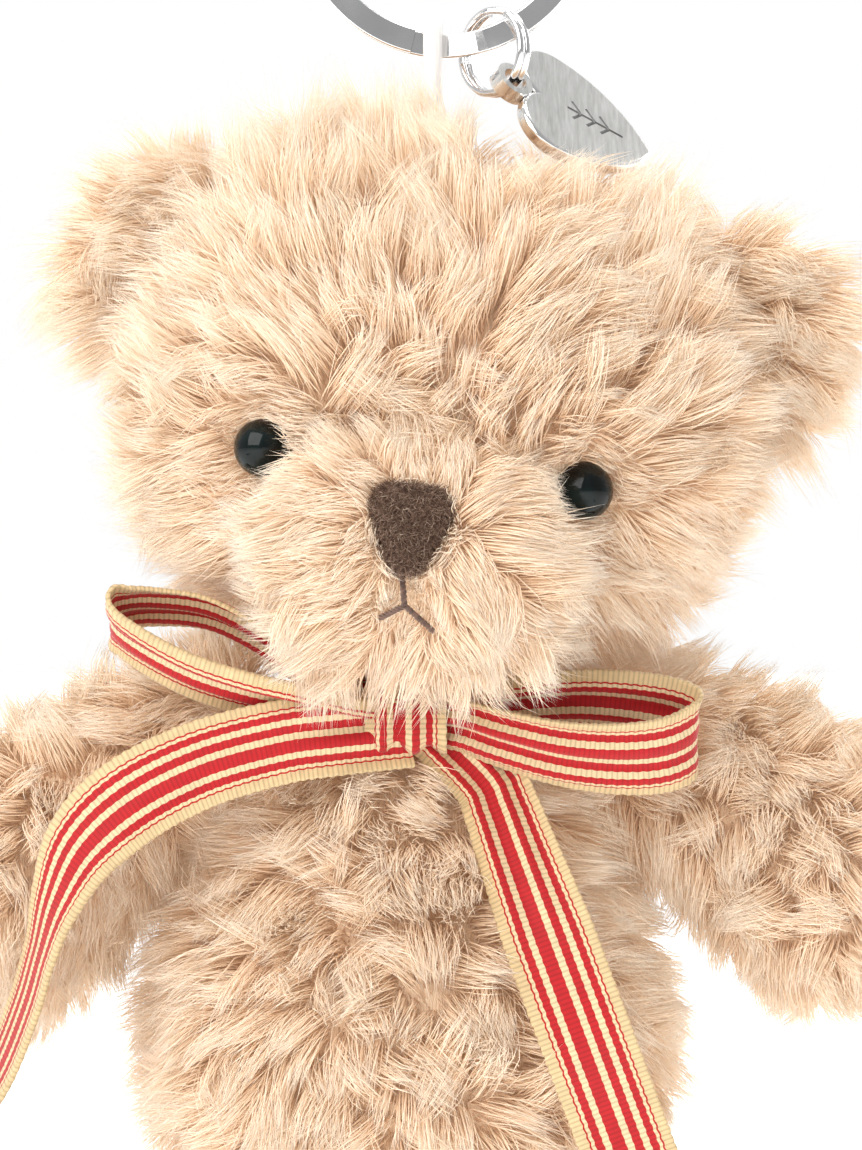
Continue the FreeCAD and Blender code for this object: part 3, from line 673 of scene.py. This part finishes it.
def kept_out(lines, tree, low, high, gap):
    """Hairs that would pass through a hard piece stop just short of it."""
    reach = 1.0 * MM
    near = ((lines.min(1) < high + reach) & (lines.max(1) > low - reach)).all(1)
    for i in np.flatnonzero(near):
        line = lines[i]
        for k in range(len(line) - 1):
            start = Vector(line[k])
            ray = Vector(line[k + 1]) - start
            size = ray.length
            if size < 1e-7:
                continue
            hit, _, _, far = tree.ray_cast(start, ray, size + gap)
            if hit is not None:
                stop = start + ray * (max(far - gap, 0.0) / size)
                rest = np.array(stop)
                line[k + 1:] = rest + (line[k + 1:] - line[k + 1]) * 0.15
                break
    return lines


def hair_mesh(lines, normal, width, tone, draw):
    """Each hair is a closed three-sided spike.  Returns points, triangles and UVs, where U is
    the hair's tone and V runs from root to tip."""
    count = len(lines)
    rings = len(HAIR_AT) - 1
    roll = draw.uniform(0, 2 * math.pi, count)
    points, uvs = [], []
    for k in range(rings):
        along = unit(lines[:, min(k + 1, rings)] - lines[:, max(k - 1, 0)])
        side = unit(np.cross(along, normal + 1e-4))
        up = np.cross(along, side)
        for j in range(HAIR_SIDES):
            angle = roll + 2 * math.pi * j / HAIR_SIDES
            out = np.cos(angle)[:, None] * side + np.sin(angle)[:, None] * up
            points.append(lines[:, k] + out * (width * HAIR_TAPER[k] / 2)[:, None])
            uvs.append(np.stack([tone + 0.002 * j, np.full(count, HAIR_AT[k])], 1))
    points.append(lines[:, rings])
    uvs.append(np.stack([tone + 0.002, np.ones(count)], 1))
    points = np.stack(points, 1)
    uvs = np.stack(uvs, 1)
    faces = [(2, 1, 0)]
    for k in range(rings - 1):
        for j in range(HAIR_SIDES):
            a, b = k * HAIR_SIDES + j, k * HAIR_SIDES + (j + 1) % HAIR_SIDES
            faces += [(a, b, b + HAIR_SIDES), (a, b + HAIR_SIDES, a + HAIR_SIDES)]
    last = (rings - 1) * HAIR_SIDES
    faces += [(last + j, last + (j + 1) % HAIR_SIDES, rings * HAIR_SIDES) for j in range(HAIR_SIDES)]
    per_hair = points.shape[1]
    tris = np.array(faces)[None] + (np.arange(count) * per_hair)[:, None, None]
    return points.reshape(-1, 3), tris.reshape(-1, 3), uvs.reshape(-1, 2)


def hair_piece(name, body, material, made):
    points, tris, uvs = made
    piece = add_piece(name, points, tris, body, material)
    layer = piece.data.uv_layers.new(name="OFBake")
    layer.uv.foreach_set("vector", uvs[tris.ravel()].ravel())


def fur(name, body, skin, hairs, comb, seed, hidden, length=9.3, lock_area=11.0, lean=(0.40, 1.05),
        wild=0.85, clump=0.72, width=0.165, back_share=0.6, shape=None, clear=None):
    """Pile over a skin, in locks that each point, curl and colour their own way, but not where
    it would grow inside the hidden skins."""
    draw = np.random.default_rng(seed)
    root, normal = scatter(skins[skin], int(hairs * HAIR_SHARE), draw, back_share)
    for other in hidden:
        seen = ~in_shape(trees[other], root + normal * MM)
        root, normal = root[seen], normal[seen]
    count = len(root)
    locks = draw.choice(count, size=int(shown_area(skins[skin]) / MM**2 / lock_area), replace=False)
    nearest = KDTree(len(locks))
    for i, p in enumerate((root[locks] + draw.normal(size=(len(locks), 3)) * 0.3 * MM).tolist()):
        nearest.insert(p, i)
    nearest.balance()
    strayed = root + draw.normal(size=root.shape) * 0.35 * MM
    lock = np.array([nearest.find(p)[1] for p in strayed.tolist()])

    c_root, c_normal = root[locks], normal[locks]
    c_heading = unit(comb(c_root)) + draw.normal(size=c_root.shape) * wild * 0.6
    c_heading = tangent(c_heading + swirl(c_root, 14 * MM, seed + 1) * wild * 0.55, c_normal)
    c_length = length * MM * draw.uniform(0.78, 1.18, len(locks))
    c_lean = [draw.normal(lean[0], 0.16, len(locks)), draw.normal(lean[1], 0.22, len(locks))]
    c_curl = draw.normal(0, 0.5, len(locks))
    c_tone = draw.beta(2.2, 2.0, len(locks))

    heading = tangent(c_heading[lock] + draw.normal(size=root.shape) * 0.22, normal)
    size = c_length[lock] * draw.uniform(0.62, 1.08, count)
    tilt = [c_lean[0][lock] + draw.normal(0, 0.12, count), c_lean[1][lock] + draw.normal(0, 0.14, count)]
    curl = c_curl[lock] + draw.normal(0, 0.22, count)
    loose = draw.random(count) < 0.10
    size[loose] *= draw.uniform(0.9, 1.25, loose.sum())
    if shape is not None:
        size, heading, tilt = shape(root, normal, size, heading, tilt)
    own = hair_lines(root - normal * 0.3 * MM, normal, heading, size, tilt, curl)
    centre = hair_lines(c_root[lock], c_normal[lock], tangent(c_heading[lock], normal), size * 1.02,
                        [c_lean[0][lock], c_lean[1][lock]], c_curl[lock])
    at = np.array(HAIR_AT)[None, :, None]
    grip = clump * draw.uniform(0.65, 1.0, count) * np.where(loose, 0.15, 1.0)
    pull = grip[:, None, None] * at ** 0.75
    spread = (root - c_root[lock])[:, None, :] * (1 - 0.82 * at)
    lines = own * (1 - pull) + (centre + spread) * pull
    frizz = draw.normal(size=lines.shape) * 0.13 * MM * at
    frizz[loose] *= 2.2
    lines = lines + frizz
    tone = np.clip(0.02 + 0.94 * (c_tone[lock] * 0.72 + draw.random(count) * 0.28), 0.02, 0.96)
    thick = width * MM * draw.uniform(0.75, 1.25, count)
    thick[loose] *= 0.7
    if clear is not None:
        lines = clear(lines, draw)
    lines = kept_out(lines, *obstacles, 0.25 * MM)
    # pieces of a bearable size, split by sector round the vertical
    root = lines[:, 0]
    centre = (root.min(0) + root.max(0)) / 2
    sector = np.argsort(np.arctan2(root[:, 0] - centre[0], root[:, 1] - centre[1]))
    parts = max(1, math.ceil(count / HAIRS_A_PIECE))
    for number, rows in enumerate(np.array_split(sector, parts), 1):
        mesh = hair_mesh(lines[rows], normal[rows], thick[rows], tone[rows], draw)
        hair_piece(name if parts == 1 else f"{name}_{number}", body, looks["pile"], mesh)


def shown_area(piece):
    points, tris = shown_mesh(piece)
    a, b, c = (points[tris[:, i]] for i in range(3))
    return float(np.linalg.norm(np.cross(b - a, c - a), axis=1).sum() / 2)


# ------------------------------------------------------------------ ribbon
def woven(name, line, across, replaced, pinch, pleats=0.0, flip=False):
    """A woven strip along a line, with ribs, and picots along both edges.  pinch is how much
    of its width shows at the start, the middle and the end; pleats take up the rest."""
    across = np.broadcast_to(np.asarray(across, float), line.shape)
    steps = np.linalg.norm(np.diff(line, axis=0), axis=1)
    run = np.concatenate([[0], np.cumsum(steps)])
    count = max(8, int(run[-1] / STATION))
    at = np.linspace(0, run[-1], count)
    line = np.stack([np.interp(at, run, line[:, i]) for i in range(3)], 1)
    across = unit(np.stack([np.interp(at, run, across[:, i]) for i in range(3)], 1))
    along = unit(np.gradient(line, axis=0))
    across = unit(across - (across * along).sum(1, keepdims=True) * along)
    up = np.cross(along, across)
    share = np.interp(at / run[-1], [0, 0.5, 1], pinch)
    v = np.linspace(-1, 1, ACROSS)
    edge = smooth01((np.abs(v) - 0.86) / 0.14)
    half = RIBBON_W / 2 - PICOT / 2 + PICOT * np.abs(np.sin(math.pi * at / PICOT_PITCH))
    reach = half[:, None] * share[:, None] * v[None]
    fold = np.sqrt(np.clip(1 - share**2, 0, 1))[:, None] * np.sin(v * 2.5 * math.pi)[None]
    fold = fold * 0.9 * MM + pleats * MM * np.sin(v * 3 * math.pi)[None] + 0 * at[:, None]
    weave = np.sin(2 * math.pi * at[:, None] / WEFT_PITCH + math.pi * (np.arange(ACROSS) % 2)[None])
    relief = 0.035 * MM * weave * (1 - edge[None]) + 0.05 * MM * edge[None]
    sides = []
    for sign in (1, -1):
        lift = fold + sign * (RIBBON_T / 2 + relief)
        sides.append(line[:, None] + across[:, None] * reach[..., None] + up[:, None] * lift[..., None])
    points = np.concatenate([s.reshape(-1, 3) for s in sides])
    total = count * ACROSS
    i, j = np.meshgrid(np.arange(count - 1), np.arange(ACROSS - 1), indexing="ij")
    a = (i * ACROSS + j).ravel()
    top = np.stack([a, a + ACROSS, a + ACROSS + 1, a + 1], 1)
    bottom = np.stack([a, a + 1, a + ACROSS + 1, a + ACROSS], 1) + total
    k = np.arange(count - 1) * ACROSS
    left = np.stack([k, k + total, k + total + ACROSS, k + ACROSS], 1)
    right = left[:, ::-1] + ACROSS - 1
    m = np.arange(ACROSS - 1)
    near = np.stack([m, m + 1, m + 1 + total, m + total], 1)
    far = near[:, ::-1] + (count - 1) * ACROSS
    faces = np.concatenate([top, bottom, left, right, near, far])
    piece = add_piece(name, points, faces, "torso", looks["ribbon"])
    wobble = 0.003 * np.sin(2 * math.pi * at / PICOT_PITCH)[:, None]
    width_uv = (v + 1)[None] / 2 + wobble * (1 - edge[None])
    if flip:
        width_uv = 1 - width_uv
    uv = np.stack([np.clip(width_uv, 0, 1), np.repeat(at[:, None] / WEFT_PITCH, ACROSS, 1)], 2)
    uv = np.concatenate([uv.reshape(-1, 2)] * 2)
    layer = piece.data.uv_layers.new(name="Weave")
    loops = np.zeros(len(piece.data.loops), np.int32)
    piece.data.loops.foreach_get("vertex_index", loops)
    layer.uv.foreach_set("vector", uv[loops].ravel())
    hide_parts(replaced)
    return piece


def smooth_line(points, count=60):
    """A smooth line through given points (Catmull-Rom)."""
    p = np.asarray(points, float)
    p = np.concatenate([2 * p[:1] - p[1:2], p, 2 * p[-1:] - p[-2:-1]])
    lines = []
    t = np.linspace(0, 1, count, endpoint=False)[:, None]
    for a, b, c, d in zip(p[:-3], p[1:-2], p[2:-1], p[3:]):
        lines.append(0.5 * (2 * b + (c - a) * t + (2 * a - 5 * b + 4 * c - d) * t**2
                            + (3 * b - a - 3 * c + d) * t**3))
    lines.append(p[-2:-1])
    return np.concatenate(lines)


def neck_band():
    """Scrunched to little more than half its width."""
    low, high = box("ribbon_neck_band")
    centre = (low + high) / 2
    radius = (high[0] - low[0]) / 2
    angle = np.linspace(-math.pi / 2, 1.5 * math.pi, 200)
    ring = np.stack([centre[0] + radius * np.cos(angle), centre[1] + radius * np.sin(angle),
                     np.full(200, centre[2])], 1)
    return woven("neck_band_ribbon", ring, [0.0, 0.0, 1.0], "ribbon_neck_band",
                 pinch=[0.62, 0.62, 0.62], pleats=0.35)


def knot(low, high):
    """A turn of ribbon, squarer than round, over the bow's middle."""
    centre = (low + high) / 2
    half_y = (high[1] - low[1]) / 2 - RIBBON_T / 2
    half_z = (high[2] - low[2]) / 2 - RIBBON_T / 2
    angle = np.linspace(0.5 * math.pi, 2.5 * math.pi, 120)
    cos, sin = np.cos(angle), np.sin(angle)
    turn = np.stack([np.full(120, centre[0]),
                     centre[1] + half_y * np.sign(cos) * np.abs(cos) ** KNOT_POWER,
                     centre[2] + half_z * np.sign(sin) * np.abs(sin) ** KNOT_POWER], 1)
    return woven("bow_knot_ribbon", turn, [1.0, 0.0, 0.0], "ribbon_knot",
                 pinch=[0.9, 0.9, 0.9], pleats=0.12)


def bow_loop(side, knot_low, knot_high):
    """Out from the knot and back behind itself."""
    node = "ribbon_loop_left" if side < 0 else "ribbon_loop_right"
    low, high = box(node)
    front = low[1] + RIBBON_T / 2
    knot_x, end_x = (knot_low[0], low[0]) if side < 0 else (knot_high[0], high[0])
    inner_z = (knot_low[2] + knot_high[2]) / 2
    reach = abs(end_x - knot_x)
    path, lean_back = BOW_LOOPS[side]
    path = [(reach * x, front + y * MM, inner_z + z * MM) for x, y, z in path]
    path = [(-ROOT_IN, front + 2.6 * MM, inner_z), *path, (-ROOT_IN, front + 3.8 * MM, inner_z)]
    line = smooth_line([(knot_x + side * x, y, z) for x, y, z in path])
    lean = math.radians(lean_back)
    return woven(f"bow_{node[7:]}_ribbon", line, [0.0, -math.sin(lean), math.cos(lean)], node,
                 pinch=[0.66, 1.0, 0.66], flip=side > 0)


def right_tail(knot_low, knot_high):
    """Down the belly's front, on the CAD ribbon's face."""
    lean = math.radians(TAIL_LEAN)
    cross = np.array([math.cos(lean), 0.0, math.sin(lean)])
    down = np.array([math.sin(lean), 0.0, -math.cos(lean)])
    knot_z = (knot_low[2] + knot_high[2]) / 2
    start = (knot_low + knot_high) / 2 + cross * TAIL_SIDE
    surface = tree_of([nodes["ribbon_tail_right"]])
    line = []
    for far in np.linspace(0.0, 60 * MM, 25):
        x, _, z = start + down * far
        hit, _, _, _ = surface.ray_cast(Vector((x, -0.1, z)), Vector((0, 1, 0)))
        if hit is not None:
            line.append((x, hit.y + 0.1 * MM, z))
    tip = np.array(line[-1]) + down * 4.0 * MM
    line = [line[0], *line[2:-1:4], tuple(tip)]
    root = (knot_high[0] - 1.4 * MM, knot_low[1] + 3.2 * MM, knot_z - 0.8 * MM)
    bend = (line[0][0] - 1.6 * MM, knot_low[1] + 2.4 * MM, line[0][2] + 3.2 * MM)
    return woven("bow_tail_right_ribbon", smooth_line([root, bend, *line]), cross, "ribbon_tail_right",
                 pinch=[0.72, 1.0, 1.0])


def left_tail():
    """Out over the arm and down, turning its face away."""
    low, high = box("ribbon_tail_left")
    start = np.array([high[0], (low[1] + high[1]) / 2, high[2] - RIBBON_W / 2])
    line = smooth_line([start + np.array(step) * MM for step in LEFT_TAIL])
    share = np.linspace(0, 1, len(line))
    along = unit(np.gradient(line, axis=0))
    across = unit(np.cross(along, [0.0, -1.0, 0.0]))
    twist = (smooth01((share - 0.30) / 0.42) * math.radians(66))[:, None]
    across = np.cos(twist) * across + np.sin(twist) * np.cross(along, across)
    return woven("bow_tail_left_ribbon", line, across, "ribbon_tail_left",
                 pinch=[0.86, 1.0, 1.0])


def ribbons():
    knot_low, knot_high = box("ribbon_knot")
    return [neck_band(), knot(knot_low, knot_high), bow_loop(-1, knot_low, knot_high),
            bow_loop(1, knot_low, knot_high), right_tail(knot_low, knot_high), left_tail()]


# ------------------------------------------------------------------ face
def felt_nose():
    piece = placed("felt_nose", nodes["nose"].data.copy(), "head", looks["felt"])
    remesh(piece, FELT_VOXEL)
    rounded(piece, FELT_ROUNDS)
    points = per_point(piece, "co")
    rough = swirl(points, 2.2 * MM, 71)[:, :1] * 0.10 + swirl(points, 0.8 * MM, 72)[:, :1] * 0.05
    put_points(piece, points + per_point(piece, "normal") * rough * MM)
    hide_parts("nose")
    return piece


def rounded(piece, rounds):
    mesh = bmesh.new()
    mesh.from_mesh(piece.data)
    for _ in range(rounds):
        bmesh.ops.smooth_vert(mesh, verts=mesh.verts, factor=0.5, use_axis_x=True, use_axis_y=True,
                              use_axis_z=True)
    mesh.to_mesh(piece.data)
    mesh.free()


def nose_nap(nose):
    draw = np.random.default_rng(81)
    root, normal = scatter(nose, NAP_HAIRS, draw, 0.2)
    heading = tangent(draw.normal(size=root.shape) + np.array([0, 0, -0.5]), normal)
    size = draw.uniform(0.5, 1.5, len(root)) * MM
    tilt = [draw.uniform(0.3, 1.0, len(root)), draw.uniform(0.9, 1.6, len(root))]
    lines = hair_lines(root, normal, heading, size, tilt, draw.normal(0, 1.4, len(root)))
    width = draw.uniform(0.05, 0.09, len(root)) * MM
    tone = draw.beta(1.3, 1.0, len(root)) * 0.96
    hair_piece("felt_nose_nap", "head", looks["nap"],
               hair_mesh(lines, normal, width, tone, draw))


def stitches():
    """The mouth: plied brown thread, one stitch down and one to each side."""
    low, high = box("mouth_stitches")
    points, _ = shown_mesh(nodes["mouth_stitches"])
    thick = 0.8 * MM
    ply_sides = 8
    upper = points[points[:, 2] > high[2] - 1.0 * MM]
    left = points[points[:, 0] < low[0] + 0.9 * MM]
    right = points[points[:, 0] > high[0] - 0.9 * MM]
    top, left, right = ((g.min(0) + g.max(0)) / 2 for g in (upper, left, right))
    top[2] += 0.6 * MM
    fork = np.array([(left[0] + right[0]) / 2 - 0.2 * MM, 0.0, max(left[2], right[2]) + 1.3 * MM])
    fork[1] = min(left[1], right[1], top[1]) - 0.3 * MM
    made = bmesh.new()
    for a, b in ((top, fork), (fork, left), (fork, right)):
        a, b = np.array(a), np.array(b)
        a[1] -= 0.45 * MM
        b[1] -= 0.45 * MM
        run = np.linalg.norm(b - a)
        share = np.linspace(0, 1, 40)[:, None]
        line = a * (1 - share) + b * share
        line[:, 1] -= (np.sin(share[:, 0] * math.pi) * 0.3) * MM
        along = unit(np.gradient(line, axis=0))
        side = unit(np.cross(along, [0.0, 1.0, 0.0]))
        up = np.cross(along, side)
        for ply in range(3):
            spin = share[:, 0] * run / (1.6 * MM) * 2 * math.pi + ply * 2 * math.pi / 3
            core = line + (np.cos(spin)[:, None] * side + np.sin(spin)[:, None] * up) * thick * 0.2
            turn = 2 * math.pi * np.arange(ply_sides)[:, None] / ply_sides
            round_it = np.cos(turn) * side[:, None] + np.sin(turn) * up[:, None]
            rings = core[:, None] + round_it * thick * 0.24
            verts = [[made.verts.new(p) for p in ring] for ring in rings.tolist()]
            for r, s in zip(verts[:-1], verts[1:]):
                for k in range(ply_sides):
                    after = (k + 1) % ply_sides
                    made.faces.new((r[k], r[after], s[after], s[k]))
            made.faces.new(verts[0][::-1])
            made.faces.new(verts[-1])
    mesh = bpy.data.meshes.new("mouth_thread")
    bmesh.ops.recalc_face_normals(made, faces=made.faces)
    made.to_mesh(mesh)
    made.free()
    mesh.shade_smooth()
    piece = placed("mouth_thread", mesh, "head", looks["thread"])
    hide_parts("mouth_stitches")
    return piece, [(top, fork), (fork, left), (fork, right)]


# ------------------------------------------------------------------ making it
looks = {
    "pile": pile_look(), "backing": backing_shade_look(), "wadding": wadding_look(), "felt": felt_look(),
    "nap": nap_look(), "thread": thread_look(), "eye": eye_look(), "washer": washer_look(),
    "polished": polished_look(), "charm": charm_look(), "cord": cord_look(), "ribbon": ribbon_look(),
}
studio()
cord = hanging_cord()

for node, look in {
    "key_ring": "polished", "split_ring": "polished", "heart_charm": "charm", "cord_knot": "cord",
    "left_eye": "eye", "right_eye": "eye", "left_eye_washer": "washer", "right_eye_washer": "washer",
}.items():
    nodes[node].data.materials.clear()
    nodes[node].data.materials.append(looks[look])

head_centre = middle("head_filling")
head_centre[2] = box("head_plush")[1][2] - HEAD_R
chest_centre = np.array([middle("torso_plush")[0], 0.0, CHEST_Z])
skins = {
    "head": outside("head_skin", ["head_plush"], head_centre, "head"),
    "muzzle": outside("muzzle_skin", ["muzzle_plush"], middle("muzzle_plush"), "head"),
    "torso": outside("torso_skin", ["torso_plush"], chest_centre, "torso"),
}
for side in ("left", "right"):
    panels = [f"{side}_ear_front", f"{side}_ear_back"]
    ear_middle = (middle(panels[0]) + middle(panels[1])) / 2
    skins[side + "_ear"] = outside(f"{side}_ear_skin", panels, ear_middle, "head", EAR_INSET)
    for limb, centre_of in (("arm", middle), ("leg", leg_centre)):
        name = f"{side}_{limb}"
        skins[name] = outside(name + "_skin", [name + "_plush"], centre_of(name + "_plush"), name)
swell(list(skins.values()))
fillings = [("head_filling", "head"), ("muzzle_filling", "head"), ("torso_filling", "torso")]
fillings += [(f"{side}_{limb}_filling", f"{side}_{limb}") for side in ("left", "right")
             for limb in ("arm", "leg")]
for seed, (node, body) in enumerate(fillings, 31):
    wadding(node, body, seed)

nose = felt_nose()
nose_nap(nose)
mouth, mouth_lines = stitches()
bow = ribbons()

eyes = [front_of("left_eye", 2.0 * MM), front_of("right_eye", 2.0 * MM)]
nose_low, nose_high = box("nose")
nose_middle = (nose_low + nose_high) / 2
nose_middle[1] = nose_low[1]
hard = [cord, nose, mouth, *bow, *(nodes[n] for n in ("key_ring", "split_ring", "heart_charm",
                                                       "left_eye", "right_eye"))]
hard_points = np.concatenate([shown_mesh(piece)[0] for piece in hard])
obstacles = (tree_of(hard), hard_points.min(0), hard_points.max(0))
trees = {name: tree_of([skin]) for name, skin in skins.items()}
DOWN = np.array([0.0, 0.0, -1.0])


def comb_head(p):
    out = unit(p - (nose_middle + np.array([0, 4 * MM, 0])))
    back = smooth01((p[:, 1:2] + 4 * MM) / (22 * MM))
    return out * (1 - back) + (DOWN + np.array([0, 0.3, 0])) * back


def comb_ear(p):
    return unit(p - head_centre) + np.array([0, -0.1, -0.9])


def comb_torso(p):
    out = np.zeros_like(p)
    out[:, 0] = (p[:, 0] - chest_centre[0]) / (25 * MM)
    return DOWN + out * 0.5


def comb_limb(out):
    return lambda p: DOWN + np.array([out, 0, 0])


def round_face(root, normal, size, heading, tilt):
    """Long pile on the crown and under the chin, shorter where it parts round the eyes, the
    nose and the mouth."""
    crown = smooth01((root[:, 2] - head_centre[2] - 12 * MM) / (12 * MM))
    chin = smooth01((nose_middle[2] - 8 * MM - root[:, 2]) / (7 * MM))
    size = size * (1 + 0.30 * crown + 0.25 * chin)
    tilt = [tilt[0] * (1 - 0.5 * crown), tilt[1] * (1 - 0.35 * crown - 0.2 * chin)]
    heading = tangent(heading + DOWN * chin[:, None] * 1.2, normal)
    # round each middle: how much shorter and over what reach, how far it turns away and over
    # what reach
    parting = [(eye, 0.52, (8.5, 5), 1.4, (12, 7)) for eye in eyes]
    parting.append((nose_middle, 0.38, (11, 7), 1.2, (14, 7)))
    for centre, cut, short, push, turn in parting:
        away = root - centre
        away[:, 1] *= 0.4
        gap = np.linalg.norm(away, axis=1)
        size = size * (1 - cut * smooth01((short[0] * MM - gap) / (short[1] * MM)))
        near = smooth01((turn[0] * MM - gap) / (turn[1] * MM))[:, None]
        heading = tangent(heading * (1 - near) + unit(away) * near * push, normal)
    for a, b in mouth_lines:
        along = b - a
        share = np.clip(((root - a) @ along) / (along @ along), 0, 1)[:, None]
        away = root - (a + share * along)
        gap = np.linalg.norm(away[:, [0, 2]], axis=1)
        near = smooth01((4.5 * MM - gap) / (3.5 * MM))
        size = size * (1 - 0.45 * near)
        heading = tangent(heading * (1 - 0.7 * near[:, None]) + unit(away) * near[:, None], normal)
    return size, heading, tilt


def clear_face(lines, draw):
    """Pushes hairs off the front of the eyes and the nose, except a few."""
    stay = draw.random(len(lines)) < 0.06
    rim = draw.uniform(0.72, 1.2, len(lines))[:, None]
    discs = [(eye, 2.75 * MM, 2.75 * MM) for eye in eyes]
    discs.append((nose_middle, 4.3 * MM, 4.6 * MM))
    for centre, wide, tall in discs:
        x = (lines[:, :, 0] - centre[0]) / wide
        z = (lines[:, :, 2] - centre[2]) / tall
        ring = np.sqrt(x**2 + z**2)
        in_front = (lines[:, :, 1] < centre[1] + 5 * MM) & (ring < rim) & ~stay[:, None]
        grow = np.where(in_front, rim / np.maximum(ring, 0.05), 1.0)
        lines[:, :, 0] = centre[0] + x * wide * grow
        lines[:, :, 2] = centre[2] + z * tall * grow
    # what would stand in front of the charm stays below it
    low, high = box("heart_charm")
    over = (lines[:, :, 0] > low[0] - MM) & (lines[:, :, 0] < high[0] + MM)
    over &= (lines[:, :, 2] > low[2] + 1.5 * MM) & (lines[:, :, 1] < high[1] + MM)
    tall = over.any(1)
    root = lines[tall, :1]
    lines[tall] = root + (lines[tall] - root) * draw.uniform(0.15, 0.4, tall.sum())[:, None, None]
    return lines


fur("head_fur", "head", "head", 64000, comb_head, 101, hidden=["muzzle", "torso"],
    shape=round_face, clear=clear_face)
fur("muzzle_fur", "head", "muzzle", 20000, comb_head, 111, hidden=["head"], length=8.2, wild=0.6,
    lean=(0.5, 1.05), shape=round_face, clear=clear_face)
for number, (side, sign) in enumerate((("left", -1), ("right", 1))):
    ear, arm, leg = side + "_ear", side + "_arm", side + "_leg"
    fur(ear + "_fur", "head", ear, 9000, comb_ear, 121 + number, hidden=["head"], length=9.5,
        lean=(0.3, 0.9), back_share=0.8)
    fur(arm + "_fur", arm, arm, 22000, comb_limb(0.7 * sign), 131 + number, hidden=["torso"],
        length=8.2, wild=1.1)
    fur(leg + "_fur", leg, leg, 12000, comb_limb(0.21 * sign), 141 + number,
        hidden=["torso"], length=8.2, wild=1.0, back_share=0.8)
fur("torso_fur", "torso", "torso", 54000, comb_torso, 151, wild=1.1,
    hidden=["head", "left_arm", "right_arm", "left_leg", "right_leg"])
